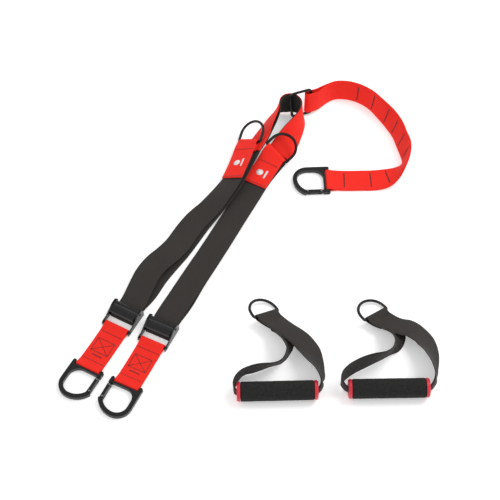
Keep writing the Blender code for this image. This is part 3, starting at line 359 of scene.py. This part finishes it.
def off_bar(ring, towards):
    """The start of a route at a ring's bar: square off the bar, on its way towards a point."""
    middle, bar, _ = (np.array(v, float) for v in ring)
    bar /= np.linalg.norm(bar)
    leave = np.array(towards[:3], float) - middle
    leave -= leave.dot(bar) * bar
    leave *= BAR_LEAD / np.linalg.norm(leave)
    axis = bar * np.sign(bar.dot(towards[3:6]))
    return [(*middle, *axis), (*(middle + leave), *axis)]


def turn(rows, radius, count=9, end=True):
    """Half a turn round a pin at the end (or start) of a route, from its upper side to its lower side."""
    middle, along, _, _ = strap_frames(rows)
    at = -1 if end else 0
    side = rows[at, 3:6] / np.linalg.norm(rows[at, 3:6])
    rise = np.cross(side, along[at])
    rise /= np.linalg.norm(rise)
    ahead = np.cross(rise, side) * (1 if end else -1)
    angles = np.linspace(0, math.pi, count)
    if not end:
        angles = math.pi - angles
    points = [middle[at] + radius * (rise * math.cos(a) + ahead * math.sin(a)) for a in angles]
    return np.hstack([points, np.repeat(side[None], count, 0)])


def flare(rows, half, radius, reach, at_end=True):
    """How far each layer stands off a doubled route that opens out round a pin."""
    middle = rows[:, :3]
    pin = middle[-1] if at_end else middle[0]
    near = np.clip(1 - np.linalg.norm(middle - pin, axis=1) / reach, 0, 1)
    return half + (radius - half) * eased(near)


def doubled(rows, radii, reaches):
    """A strap sewn back on itself round a pin at both ends, as one closed loop of two layers."""
    first = flare(rows, LAYER / 2, radii[0], reaches[0], at_end=False)
    last = flare(rows, LAYER / 2, radii[1], reaches[1])
    lift = np.maximum(first, last)
    upper, lower = layer(rows, lift), layer(rows, -lift)[::-1]
    back = turn(rows, radii[0], end=False)
    return np.vstack([upper[:-1], turn(rows, radii[1]), lower[1:-1], back[:-1]])


def buckle_turn(place):
    """The strap's way through a buckle: in over the plate, round its rear edge and out beneath it."""
    (x, y), degrees = place
    ahead, side = heading(degrees)
    base = np.array((x, y, 0.0))
    over = PIN_HEIGHT + PLATE_TURN
    under = PIN_HEIGHT - PLATE_TURN
    rows = [(PLATE_FRONT + 9, over + 0.6), (PLATE_FRONT, over), (CAM_Y, over), (PLATE_REAR + 4, over)]
    rows += [
        (PLATE_REAR + PLATE_THICK / 2 - PLATE_TURN * math.sin(t), PIN_HEIGHT + PLATE_TURN * math.cos(t))
        for t in np.linspace(0, math.pi, 7)
    ]
    rows += [(PLATE_REAR + 5, under), (CAM_Y, 1.1), (PLATE_FRONT + 6, 1.0)]
    return [(*(base + ahead * v + np.array((0, 0, w))), *side) for v, w in rows]


def flipped_across(rows):
    return [(*row[:3], *(-c for c in row[3:])) for row in rows]


def main_webbing_rows():
    """From the left pull tab down and round the left buckle, up through the yoke and back the other way."""
    left = flipped_across(LEFT_TAB[1:] + LEFT_OVER)
    left += buckle_turn(BUCKLES["left"]) + flipped_across(LEFT_UNDER + YOKE[:-1])
    right = flipped_across(YOKE[-1:] + RIGHT_UNDER)
    right += flipped_across(buckle_turn(BUCKLES["right"])[::-1] + RIGHT_OVER + RIGHT_TAB[:-1])
    return squared(smooth_route(left + right, WEB_STEP))


COVER_BULGE = 3.0  # how far the cover stands off the black webbing on the left arm
BULGE_PLACE, BULGE_REACH = 0.24, 0.16  # as shares of its length


def yoke_cover_rows():
    """The red webbing sewn over the yoke, on the outside of the black one."""
    rows = squared(smooth_route(flipped_across(YOKE[:-1]), WEB_STEP))
    share = np.linspace(0, 1, len(rows))
    near = np.clip(1 - np.abs(share - BULGE_PLACE) / BULGE_REACH, 0, 1)
    return layer(rows, LAYER + COVER_BULGE * eased(near))


def tab_rows(rows, ring, tail):
    """A pull tab: its upper leaf lies on the tail, goes round the ring's bar and comes back underneath."""
    route = squared(smooth_route([*rows, *off_bar(ring, rows[-1])[::-1]], WEB_STEP), end=2)
    lift = flare(route, TAB_LIFT, RING_EYE, TAB_EYE_REACH)
    upper, lower = layer(route, lift), layer(route, -lift)[::-1]
    return np.vstack([upper[:-1], turn(route, RING_EYE), lower[1:tail]])


def handle_rows(routes, place, ring):
    """One closed strap: round the ring, down each side and through the grip, folded narrow in the grip."""
    (x, y), degrees = place
    along, _ = heading(degrees)
    centre = np.array((x, y, GRIP_HEIGHT))
    half = GRIP_LENGTH / 2 + CAP_FLANGE
    stations = (half + 1, half - 14, 0, 14 - half, -half - 1)
    grip = [(*(centre + along * s), 0.0, 0.02, 1.0) for s in stations]
    stack = smooth_route([*off_bar(ring, routes["stack"][0]), *routes["stack"]], WEB_STEP)
    stack = squared(stack, start=2)
    lift = flare(stack, LAYER / 2, RING_EYE, EYE_REACH, at_end=False)
    upper, lower = layer(stack, lift), layer(stack, -lift)
    around = turn(stack, lift[0], end=False)
    loose = [*upper[-2:], *routes["upper"], *grip, *routes["lower"][::-1], *lower[:-3:-1]]
    loose = squared(smooth_route(loose, WEB_STEP * 0.8), start=1, end=1)
    rows = np.vstack([around, upper[1:-2], loose, lower[-3:0:-1]])
    place = distances(rows[:, :3])
    inside = np.linalg.norm(np.cross(rows[:, :3] - centre, along), axis=1) < 1.0
    edge = np.maximum(place[inside].min() - place, place - place[inside].max())
    opened = np.clip((edge - FOLD_START) / FOLD_REACH, 0, 1)
    opened *= 3 - 2 * opened  # it spreads an eighth past its full opening where it unfolds
    widths = FOLDED_WIDTH + (WEB_WIDTH - FOLDED_WIDTH) * opened
    thicks = FOLDED_THICK + (WEB_THICK - FOLDED_THICK) * opened
    return np.hstack([rows, widths[:, None], thicks[:, None]])


# ---------------------------------------------------------------- place of the layout in the row frame
def layout_offset():
    """From the left grip's middle, which both frames know."""
    low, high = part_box("left_handle_grip_tube")
    middle = (Vector(low) + Vector(high)) / 2
    (x, y), _ = GRIPS["left"]
    return middle - Vector((x, y, GRIP_HEIGHT)) * MM


OFFSET = layout_offset()


def to_frame(point):
    return Vector([float(c) for c in point]) * MM + OFFSET


# ---------------------------------------------------------------- node helpers
def new_material(name, colour, roughness, metallic=0.0, sheen=0.0, coat=0.0):
    made = bpy.data.materials.new(name)
    made.use_nodes = True
    shader = made.node_tree.nodes["Principled BSDF"]
    shader.inputs["Base Color"].default_value = (*colour, 1.0)
    shader.inputs["Roughness"].default_value = roughness
    shader.inputs["Metallic"].default_value = metallic
    shader.inputs["Sheen Weight"].default_value = sheen
    shader.inputs["Sheen Roughness"].default_value = 0.4
    shader.inputs["Coat Weight"].default_value = coat
    made.diffuse_color = (*colour, 1.0)
    return made, made.node_tree, shader


def math_node(tree, operation, first, second=None):
    node = tree.nodes.new("ShaderNodeMath")
    node.operation = operation
    for slot, value in enumerate((first, second)):
        if value is None:
            continue
        if isinstance(value, (int, float)):
            node.inputs[slot].default_value = value
        else:
            tree.links.new(value, node.inputs[slot])
    return node.outputs[0]


def noise(tree, scale, detail=3.0):
    where = tree.nodes.new("ShaderNodeTexCoord")
    texture = tree.nodes.new("ShaderNodeTexNoise")
    texture.inputs["Scale"].default_value = scale
    texture.inputs["Detail"].default_value = detail
    tree.links.new(where.outputs["Object"], texture.inputs["Vector"])
    return texture.outputs["Fac"]


def ramp(tree, value, low, high, dark, light):
    """Mix from a dark colour to a light one as the value goes from low to high."""
    spread = tree.nodes.new("ShaderNodeMapRange")
    spread.inputs["From Min"].default_value = low
    spread.inputs["From Max"].default_value = high
    tree.links.new(value, spread.inputs["Value"])
    mix = tree.nodes.new("ShaderNodeMix")
    mix.data_type = "RGBA"
    mix.inputs["A"].default_value = (*dark, 1.0)
    mix.inputs["B"].default_value = (*light, 1.0)
    tree.links.new(spread.outputs["Result"], mix.inputs["Factor"])
    return mix.outputs["Result"]


def bump(tree, shader, height, distance, strength=1.0):
    node = tree.nodes.new("ShaderNodeBump")
    node.inputs["Distance"].default_value = distance
    node.inputs["Strength"].default_value = strength
    tree.links.new(height, node.inputs["Height"])
    tree.links.new(node.outputs["Normal"], shader.inputs["Normal"])


def scaled(colour, factor):
    return tuple(min(1.0, c * factor) for c in colour)


def tint(tree, shader, value, span, colour, dark, light):
    """Vary a base colour between a darker and a lighter shade as the value crosses the span."""
    shade = ramp(tree, value, *span, scaled(colour, dark), scaled(colour, light))
    tree.links.new(shade, shader.inputs["Base Color"])


# ---------------------------------------------------------------- materials
RIB_PITCH = 1.5  # of the weave, along the strap in mm
COLUMN_PITCH = 2.1  # across it


def webbing_look(name, colour, sheen):
    """Woven nylon: columns of short ribs, every other column half a rib on. UVs are in millimetres."""
    made, tree, shader = new_material(name, colour, 0.72, sheen=sheen)
    shader.inputs["Specular IOR Level"].default_value = 0.12
    where = tree.nodes.new("ShaderNodeUVMap")
    split = tree.nodes.new("ShaderNodeSeparateXYZ")
    tree.links.new(where.outputs["UV"], split.inputs["Vector"])
    across, along = split.outputs["X"], split.outputs["Y"]
    column = math_node(tree, "FLOOR", math_node(tree, "DIVIDE", across, COLUMN_PITCH))
    shift = math_node(tree, "MULTIPLY", math_node(tree, "PINGPONG", column, 1.0), math.pi)
    wave = math_node(tree, "MULTIPLY", along, 2 * math.pi / RIB_PITCH)
    rib = math_node(tree, "SINE", math_node(tree, "ADD", wave, shift))
    groove = math_node(tree, "SINE", math_node(tree, "MULTIPLY", across, math.pi / COLUMN_PITCH))
    groove = math_node(tree, "POWER", math_node(tree, "ABSOLUTE", groove), 0.5)
    rib = math_node(tree, "MULTIPLY", math_node(tree, "ADD", rib, 1.6), 0.38)
    height = math_node(tree, "MULTIPLY", rib, groove)
    patchy = math_node(tree, "MULTIPLY", noise(tree, 22.0), 0.5)
    # The base colour follows the rib height, lighter on the ribs and darker in the grooves: painted light
    # and shade of the weave. The patchy noise added to it is a real uneven tone.
    shade = math_node(tree, "ADD", height, patchy)
    fuzz = math_node(tree, "MULTIPLY", noise(tree, 2200.0, 1.0), 0.35)
    tint(tree, shader, shade, (0.2, 1.3), colour, 0.78, 1.28)
    bump(tree, shader, math_node(tree, "ADD", height, fuzz), 0.0003, 0.8)
    return made


def thread_look(name, colour):
    """Spun thread or flock print: a fine fibre."""
    made, tree, shader = new_material(name, colour, 0.55, sheen=0.3)
    tint(tree, shader, noise(tree, 900.0), (0.3, 0.7), colour, 0.7, 1.2)
    bump(tree, shader, noise(tree, 1800.0, 1.0), 0.0002, 0.6)
    return made


def metal_look(name, colour, roughness, metallic, coat):
    """Coated or bare metal: a faint orange peel, uneven gloss and a few rubbed patches."""
    made, tree, shader = new_material(name, colour, roughness, metallic, coat=coat)
    shader.inputs["Coat Roughness"].default_value = 0.08
    shader.inputs["Specular IOR Level"].default_value = 0.3
    gloss = tree.nodes.new("ShaderNodeMapRange")
    gloss.inputs["To Min"].default_value = roughness * 0.75
    gloss.inputs["To Max"].default_value = roughness * 1.4
    tree.links.new(noise(tree, 140.0, 5.0), gloss.inputs["Value"])
    tree.links.new(gloss.outputs["Result"], shader.inputs["Roughness"])
    tint(tree, shader, noise(tree, 320.0, 8.0), (0.62, 0.74), colour, 1.0, 2.4)
    bump(tree, shader, noise(tree, 700.0, 2.0), 0.00012, 0.25)
    return made


def foam_look(name, colour):
    """Closed-cell foam: fine pores over a slightly uneven skin."""
    made, tree, shader = new_material(name, colour, 0.9, sheen=0.03)
    shader.inputs["Specular IOR Level"].default_value = 0.2
    pores = noise(tree, 2600.0, 3.0)
    skin = noise(tree, 260.0, 4.0)
    height = math_node(tree, "ADD", pores, math_node(tree, "MULTIPLY", skin, 0.8))
    # The base colour follows the bump height, darker in the pores and low spots of the skin and lighter on
    # its raised parts: painted shade and light of the relief.
    tint(tree, shader, height, (0.6, 1.2), colour, 0.6, 1.5)
    bump(tree, shader, height, 0.0004, 0.7)
    return made


def plastic_look(name, colour, roughness):
    """Moulded plastic: a fine grain and a slightly uneven colour."""
    made, tree, shader = new_material(name, colour, roughness)
    tint(tree, shader, noise(tree, 90.0), (0.3, 0.7), colour, 0.88, 1.1)
    bump(tree, shader, noise(tree, 1500.0, 2.0), 0.0001, 0.4)
    return made


RED = (0.92, 0.026, 0.017)
CHARCOAL = (0.036, 0.032, 0.0295)
LOOKS = {
    "red_web": webbing_look("red_webbing_weave", RED, 0.04),
    "black_web": webbing_look("charcoal_webbing_weave", CHARCOAL, 0.06),
    "dark_thread": thread_look("dark_thread", (0.012, 0.007, 0.007)),
    "mark": thread_look("white_print", (0.8, 0.8, 0.79)),
    "black_metal": metal_look("black_gloss_metal", (0.006, 0.006, 0.0065), 0.2, 0.0, 0.12),
    "bright_steel": metal_look("bright_pin_steel", (0.34, 0.34, 0.35), 0.34, 1.0, 0.0),
    "grip_foam": foam_look("closed_cell_foam", (0.017, 0.0165, 0.016)),
    "red_cap": plastic_look("red_cap_plastic", (0.62, 0.02, 0.04), 0.35),
    "tube_plastic": plastic_look("black_tube_plastic", (0.03, 0.03, 0.03), 0.5),
}


# ---------------------------------------------------------------- webbing meshes
def finish_mesh(name, points, faces, look, uvs=None):
    mesh = bpy.data.meshes.new(name)
    mesh.from_pydata([to_frame(p) for p in points], [], faces)
    if uvs is not None:
        layer_uv = mesh.uv_layers.new(name="UVMap")
        for polygon, corners in zip(mesh.polygons, uvs):
            for loop, uv in zip(polygon.loop_indices, corners):
                layer_uv.data[loop].uv = uv
    shape = bmesh.new()
    shape.from_mesh(mesh)
    bmesh.ops.recalc_face_normals(shape, faces=shape.faces)
    shape.to_mesh(mesh)
    shape.free()
    mesh.shade_smooth()
    mesh.materials.append(look)
    made = bpy.data.objects.new(name, mesh)
    bpy.context.scene.collection.objects.link(made)
    return made


def section(width, thick, flats=6, rounds=3):
    """Outline of webbing across its length: flat faces with rounded edges, as (across, up) pairs."""
    radius = thick / 2
    reach = width / 2 - radius
    top = [(reach - 2 * reach * k / flats, radius) for k in range(flats + 1)]
    side = [math.pi / 2 + math.pi * k / (rounds + 1) for k in range(1, rounds + 1)]
    left = [(-reach + radius * math.cos(a), radius * math.sin(a)) for a in side]
    half = top + left
    return half + [(-x, -y) for x, y in half]


def fine_rows(rows, closed):
    """The CAD strap's own rows, with width and thickness, joined by a smooth curve."""
    if rows.shape[1] == 6:
        size = np.tile([WEB_WIDTH, WEB_THICK], (len(rows), 1))
        rows = np.hstack([rows, size])
    return smooth_route(rows, FINE_STEP, closed)


def length_of(rows, closed):
    gaps = np.linalg.norm(np.diff(rows[:, :3], axis=0), axis=1).sum()
    return gaps + (np.linalg.norm(rows[0, :3] - rows[-1, :3]) if closed else 0.0)


def strap(name, rows, look, closed=False):
    """A strap's mesh, with UVs in millimetres: the way round its section, and the way along it."""
    rows = fine_rows(rows, closed)
    middle, across, normal = frames_of(rows, closed)
    place = [*distances(rows[:, :3]), length_of(rows, closed)]
    outlines = [section(width, thick) for width, thick in rows[:, 6:8]]
    points = []
    for i, outline in enumerate(outlines):
        points += [middle[i] + across[i] * x + normal[i] * y for x, y in outline]
    outline = outlines[-1]
    count = len(outline)
    around = distances(np.array(outline + outline[:1]))
    faces, uvs = [], []
    for i in range(len(rows) if closed else len(rows) - 1):
        j = (i + 1) % len(rows)
        for k in range(count):
            m = (k + 1) % count
            faces.append((i * count + k, i * count + m, j * count + m, j * count + k))
            a, b = around[k], around[k + 1]
            uvs.append([(a, place[i]), (b, place[i]), (b, place[i + 1]), (a, place[i + 1])])
    if not closed:
        for ring, turned in ((0, True), (len(rows) - 1, False)):
            ends = [ring * count + k for k in range(count)]
            faces.append(tuple(reversed(ends)) if turned else tuple(ends))
            uvs.append([(x, place[ring] + y) for x, y in (reversed(outline) if turned else outline)])
    made = finish_mesh(name, points, faces, look, uvs)
    made["flat_length"] = length_of(rows, closed) * MM
    return made


# ---------------------------------------------------------------- thread
THREAD = 0.42  # radius
THREAD_SIDES = 5
STITCH = 2.6
STITCH_GAP = 0.5
STITCH_ARCH = ((0.0, -0.25), (0.2, 0.12), (0.5, 0.22), (0.8, 0.12), (1.0, -0.25))  # share along, rise
BARTACK_WIDTH = 2.4
BARTACK_PITCH = 1.3


def surface(rows, lift):
    """A function from (distance along, distance across) to a point on a strap's face, and its normal."""
    parts = frames_of(rows)
    place = distances(parts[0])

    def at(s, u):
        middle, across, normal = (np.array([np.interp(s, place, v) for v in part.T]) for part in parts)
        return middle + across * u + normal * lift, normal * math.copysign(1.0, lift)

    return at, place


def stitch_line(at, start, end):
    """Short arched stitches from one (along, across) place to another."""
    count = max(1, round(math.dist(start, end) / (STITCH + STITCH_GAP)))
    margin = 0.5 * STITCH_GAP / (STITCH + STITCH_GAP)
    out = []
    for k in range(count):
        first, last = (k + margin) / count, (k + 1 - margin) / count
        path = []
        for share, rise in STITCH_ARCH:
            t = first + (last - first) * share
            point, up = at(start[0] + (end[0] - start[0]) * t, start[1] + (end[1] - start[1]) * t)
            path.append((point + up * rise, up))
        out.append(path)
    return out


def seam(at, s, half):
    """One line of stitches straight across the strap."""
    return stitch_line(at, (s, -half), (s, half))


def threads(name, stitches):
    """One piece of dark thread: a thin tube along every stitch."""
    points, faces = [], []
    for path in stitches:
        base = len(points)
        for i, (point, up) in enumerate(path):
            ahead = path[min(i + 1, len(path) - 1)][0] - path[max(i - 1, 0)][0]
            ahead /= np.linalg.norm(ahead)
            side = np.cross(ahead, up)
            side /= np.linalg.norm(side)
            over = np.cross(side, ahead)
            for k in range(THREAD_SIDES):
                a = 2 * math.pi * k / THREAD_SIDES
                points.append(point + THREAD * (math.cos(a) * side + math.sin(a) * over))
        for i in range(len(path) - 1):
            for k in range(THREAD_SIDES):
                m = (k + 1) % THREAD_SIDES
                a, b = base + i * THREAD_SIDES, base + (i + 1) * THREAD_SIDES
                faces.append((a + k, a + m, b + m, b + k))
        faces.append(tuple(base + k for k in reversed(range(THREAD_SIDES))))
        last = base + (len(path) - 1) * THREAD_SIDES
        faces.append(tuple(last + k for k in range(THREAD_SIDES)))
    return finish_mesh(name, points, faces, LOOKS["dark_thread"])


def bartack(at, s, half):
    """A dense zigzag bar across the strap."""
    out = []
    turns = round(2 * half / BARTACK_PITCH)
    for k in range(turns):
        u0 = -half + 2 * half * k / turns
        u1 = -half + 2 * half * (k + 1) / turns
        ds = BARTACK_WIDTH / 2 if k % 2 else -BARTACK_WIDTH / 2
        out += stitch_line(at, (s - ds, u0), (s + ds, u1))
    return out


def box_cross(at, s0, s1, half):
    """A sewn rectangle with its two diagonals."""
    corners = [(s0, -half), (s0, half), (s1, half), (s1, -half)]
    out = []
    for a, b in zip(corners, corners[1:] + corners[:1]):
        out += stitch_line(at, a, b)
    return out + stitch_line(at, corners[0], corners[2]) + stitch_line(at, corners[1], corners[3])


def nearest_place(rows, place, x, y):
    return place[np.argmin(np.hypot(rows[:, 0] - x, rows[:, 1] - y))]


# ---------------------------------------------------------------- straps
def placed(piece, body, slot, *nodes):
    """Give a piece its body, and name the CAD nodes that it replaces. The slot is not used."""
    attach(piece, body)
    if nodes:
        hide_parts(*nodes)
    return piece


# Bartacks of the anchor strap, x and y.
BARTACKS = [
    (149, 132), (183, 132), (214, 133), (181, 305), (209, 281),
    (228, 251), (239, 225), (244, 196), (249, 175),
]
BARTACK_HALF = 13.5


def anchor_strap():
    route = squared(smooth_route(ANCHOR_ROUTE, WEB_STEP), end=2)
    rows = doubled(route, (ANCHOR_EYE, EYE_RADIUS), (ANCHOR_EYE_REACH, EYE_REACH))
    piece = strap("anchor_strap_webbing", rows, LOOKS["red_web"], True)
    placed(piece, "set", "red_webbing", "anchor_strap")
    stitches = []
    for lift in (FACE, -FACE):
        at, place = surface(route, lift)
        for x, y in BARTACKS:
            stitches += bartack(at, nearest_place(route, place, x, y), BARTACK_HALF)
    tacks = placed(threads("anchor_strap_bartacks", stitches), "set", "red_webbing")


# Sewing of an end strap, along it from the buckle's pin, and half as wide as it is.
END_BOX, END_BOX_HALF = (27.0, 49.0), 13.5
END_SEAMS, END_SEAM_HALF = (14.5, END_STRAP - 12.5), 17.5
END_TACK, END_TACK_HALF = 54.5, 8.0


def end_straps():
    for name, ((x, y), degrees) in BUCKLES.items():
        ahead, side = heading(degrees)
        start = np.array((x, y, 0.0))
        low = FACE + 0.1
        heights = [(0, PIN_HEIGHT), (14, low + 0.4), (26, low)]
        heights += [(END_STRAP - s, z) for s, z in heights[::-1]]
        route = [(*(start - ahead * s + np.array((0, 0, z))), *side) for s, z in heights]
        route = smooth_route(route, WEB_STEP)
        rows = doubled(route, (EYE_RADIUS, EYE_RADIUS), (EYE_REACH, EYE_REACH))
        piece = strap(f"{name}_end_strap_webbing", rows, LOOKS["red_web"], True)
        placed(piece, "set", "red_webbing", f"{name}_end_strap")
        _, _, normal = frames_of(route)
        at, _ = surface(route, math.copysign(FACE, normal[0, 2]))
        stitches = box_cross(at, *END_BOX, END_BOX_HALF)
        for s in END_SEAMS:
            stitches += seam(at, s, END_SEAM_HALF)
        stitches += bartack(at, END_TACK, END_TACK_HALF)
        sewn = placed(threads(f"{name}_end_strap_stitching", stitches), "set", "red_webbing")


def upper_face(rows):
    """The lift of the strap's face that looks up, at its middle."""
    _, _, normal = frames_of(rows)
    return math.copysign(WEB_THICK / 2, normal[len(rows) // 2, 2])


MARK_SIDES = 16
MARK_LIFTS = (-0.02, 0.14)  # of its lower and upper face off the strap
MARK_SHAPES = ((-3.5, 11.0, 11.0), (6.5, 16.0, 3.0))  # across the strap, length and width: a disc and a bar


def mark_strip(name, at, s, u, length, width):
    """A thin printed bar with rounded ends, lying on the strap's face."""
    outline = []
    for k in range(MARK_SIDES):
        a = 2 * math.pi * (k + 0.5) / MARK_SIDES
        straight = math.copysign(length / 2 - width / 2, math.cos(a))
        outline.append((straight + width / 2 * math.cos(a), width / 2 * math.sin(a)))
    points = []
    for lift in MARK_LIFTS:
        for ds, du in outline:
            point, up = at(s + ds, u + du)
            points.append(point + up * lift)
    n = len(outline)
    faces = [tuple(range(n)), tuple(reversed(range(n, 2 * n)))]
    faces += [(k, (k + 1) % n, n + (k + 1) % n, n + k) for k in range(n)]
    return finish_mesh(name, points, faces, LOOKS["mark"])


# Sewing of the yoke cover: a double seam in from each end, and a line along each edge.
COVER_SEAMS, COVER_SEAM_HALF = (9.0, 13.0), 16.5
COVER_EDGE, COVER_EDGE_END = 16.8, 6.0


def main_straps():
    rows = main_webbing_rows()
    piece = placed(strap("leg_webbing", rows, LOOKS["black_web"]), "set", "black_webbing", "main_webbing")
    rows = yoke_cover_rows()
    cover = placed(strap("yoke_cover_webbing", rows, LOOKS["red_web"]), "set", "red_webbing", "yoke_cover")
    at, place = surface(rows, upper_face(rows))
    length = place[-1]
    stitches = []
    for s in (*COVER_SEAMS, *(length - s for s in COVER_SEAMS[::-1])):
        stitches += seam(at, s, COVER_SEAM_HALF)
    for u in (-COVER_EDGE, COVER_EDGE):
        stitches += stitch_line(at, (COVER_EDGE_END, u), (length - COVER_EDGE_END, u))
    sewn = placed(threads("yoke_cover_stitching", stitches), "set", "red_webbing")


# A pull tab: how many rows its lower leaf takes, and its two seams, in from the free end and the ring's eye.
TAB_TAILS = {"left": 4, "right": 3}
TAB_SEAMS, TAB_SEAM_HALF = (3.0, 14.0), 17.0
TAB_EYE_ROWS = 8  # rows round the ring's bar, left off the face that is sewn
MARK_SPAN = (5.0, 16.0)  # the mark is midway between these, in from the two ends


def pull_tabs():
    for name, leaf in (("left", flipped_across(LEFT_TAB[::-1])), ("right", RIGHT_TAB)):
        rows = tab_rows(leaf, PULL_RINGS[name], TAB_TAILS[name])
        tab = strap(f"{name}_pull_tab_webbing", rows, LOOKS["red_web"])
        placed(tab, "set", "red_webbing", f"{name}_pull_tab")
        upper = rows[: len(rows) - TAB_TAILS[name] - TAB_EYE_ROWS]
        at, place = surface(upper, upper_face(upper))
        stitches = seam(at, TAB_SEAMS[0], TAB_SEAM_HALF) + seam(at, place[-1] - TAB_SEAMS[1], TAB_SEAM_HALF)
        sewn = placed(threads(f"{name}_pull_tab_stitching", stitches), "set", "red_webbing")
        middle = (MARK_SPAN[0] + place[-1] - MARK_SPAN[1]) / 2
        for k, shape in enumerate(MARK_SHAPES):
            mark = mark_strip(f"{name}_pull_tab_mark_{k}", at, middle, *shape)
            placed(mark, "set", "red_webbing")


def handles():
    for name in ("left", "right"):
        rows = handle_rows(HANDLE_ROUTES[name], GRIPS[name], HANDLE_RINGS[name])
        web = strap(f"{name}_handle_loop_webbing", rows, LOOKS["black_web"], True)
        placed(web, f"{name}_handle", "black_webbing", f"{name}_handle_webbing")
        grip_foam(name)


FOAM_SIDES = 56
FOAM_STATIONS = 60
FOAM_LIP = 1.0  # flat ring at each end, next to the tube
SHOULDER_REACH = 1.4  # of the softened ends, along the grip
SHOULDER_DROP = 1.3
SKIN_DEPTH = 0.09  # half of how uneven the skin is
SHARP_ANGLE = math.radians(50)


def grip_foam(name):
    """A foam sleeve: softened ends, and a skin that is a little uneven."""
    (x, y), degrees = GRIPS[name]
    along, right = heading(degrees)
    centre = np.array((x, y, GRIP_HEIGHT))
    half = GRIP_LENGTH / 2
    inner = TUBE_RADIUS + CLEAR
    lip = inner + FOAM_LIP
    profile = [(-half, inner), (-half, lip)]
    for k in range(FOAM_STATIONS + 1):
        s = -half + 2 * half * k / FOAM_STATIONS
        shoulder = max(0.0, SHOULDER_REACH - (half - abs(s))) / SHOULDER_REACH
        profile.append((s, GRIP_RADIUS - SHOULDER_DROP * shoulder * shoulder))
    profile += [(half, lip), (half, inner)]
    points = []
    for k in range(FOAM_SIDES):
        t = 2 * math.pi * k / FOAM_SIDES
        outward = np.array((0, 0, math.sin(t))) - right * math.cos(t)
        for s, r in profile:
            if r > lip + 0.1:
                r -= SKIN_DEPTH * (1 + math.sin(0.31 * s + 2 * t) * math.sin(0.13 * s - 3 * t + 1.0))
            points.append(centre + along * s + outward * r)
    count = len(profile)
    faces = []
    for k in range(FOAM_SIDES):
        here, there = k * count, ((k + 1) % FOAM_SIDES) * count
        for i in range(count):
            j = (i + 1) % count
            faces.append((here + i, here + j, there + j, there + i))
    foam = finish_mesh(f"{name}_foam_sleeve", points, faces, LOOKS["grip_foam"])
    foam.data.set_sharp_from_angle(angle=SHARP_ANGLE)
    placed(foam, f"{name}_grip", "grip_foam", f"{name}_handle_grip_foam")


# ---------------------------------------------------------------- carried-over metal and plastic
def dress_nodes():
    """Every CAD node that stays in view gets its own slot's detailed material."""
    slots = {row["node"]: row["material_slot"] for row in frame["record"]["subparts"]}
    for node, slot in slots.items():
        shown = bpy.data.objects.get(node)
        if shown is None or slot not in LOOKS:
            continue
        for place in shown.material_slots:
            place.material = LOOKS[slot]


# ---------------------------------------------------------------- setting
CAMERA_DISTANCE = 2.1
CAMERA_ELEVATION = math.radians(55)
CAMERA_LENS = 100.8
CAMERA_SENSOR = 36.0
LIGHTS = {  # place, size across and watts
    "key": ((1.15, 0.45, 1.65), 1.1, 20.0),
    "fill": ((-1.3, -0.9, 1.6), 1.6, 7.0),
}
SKY_STRENGTH = 0.7
WHITE = (1.0, 1.0, 1.0, 1.0)
FLOOR_REACH = 6.0
FLOOR_GLOW = 0.3  # lifts the floor to the photo's white


def camera_and_light():
    away = Vector((0, -math.cos(CAMERA_ELEVATION), math.sin(CAMERA_ELEVATION)))
    data = bpy.data.cameras.new("camera")
    data.lens = CAMERA_LENS
    data.sensor_width = CAMERA_SENSOR
    camera = bpy.data.objects.new("camera", data)
    camera.location = OFFSET + away * CAMERA_DISTANCE
    camera.rotation_euler = away.to_track_quat("Z", "Y").to_euler()
    bpy.context.scene.collection.objects.link(camera)
    bpy.context.scene.camera = camera
    for name, (place, size, energy) in LIGHTS.items():
        light = bpy.data.lights.new(name, "AREA")
        light.shape = "DISK"
        light.size = size
        light.energy = energy
        lamp = bpy.data.objects.new(name, light)
        lamp.location = Vector(place)
        lamp.rotation_euler = Vector(place).to_track_quat("Z", "Y").to_euler()
        bpy.context.scene.collection.objects.link(lamp)
    world = bpy.data.worlds.new("studio")
    world.use_nodes = True
    sky = world.node_tree.nodes["Background"]
    sky.inputs["Color"].default_value = WHITE
    sky.inputs["Strength"].default_value = SKY_STRENGTH
    bpy.context.scene.world = world
    bpy.context.scene.view_settings.view_transform = "Standard"


def floor():
    mesh = bpy.data.meshes.new("floor")
    corners = [(FLOOR_REACH * x, FLOOR_REACH * y, 0) for x, y in ((-1, -1), (1, -1), (1, 1), (-1, 1))]
    mesh.from_pydata(corners, [], [(0, 1, 2, 3)])
    made, _, shader = new_material("white_floor", (0.9, 0.9, 0.9), 0.9)
    shader.inputs["Specular IOR Level"].default_value = 0.1
    shader.inputs["Emission Color"].default_value = WHITE
    shader.inputs["Emission Strength"].default_value = FLOOR_GLOW
    mesh.materials.append(made)
    plane = bpy.data.objects.new("floor", mesh)
    bpy.context.scene.collection.objects.link(plane)


camera_and_light()
floor()
dress_nodes()
anchor_strap()
end_straps()
main_straps()
pull_tabs()
handles()
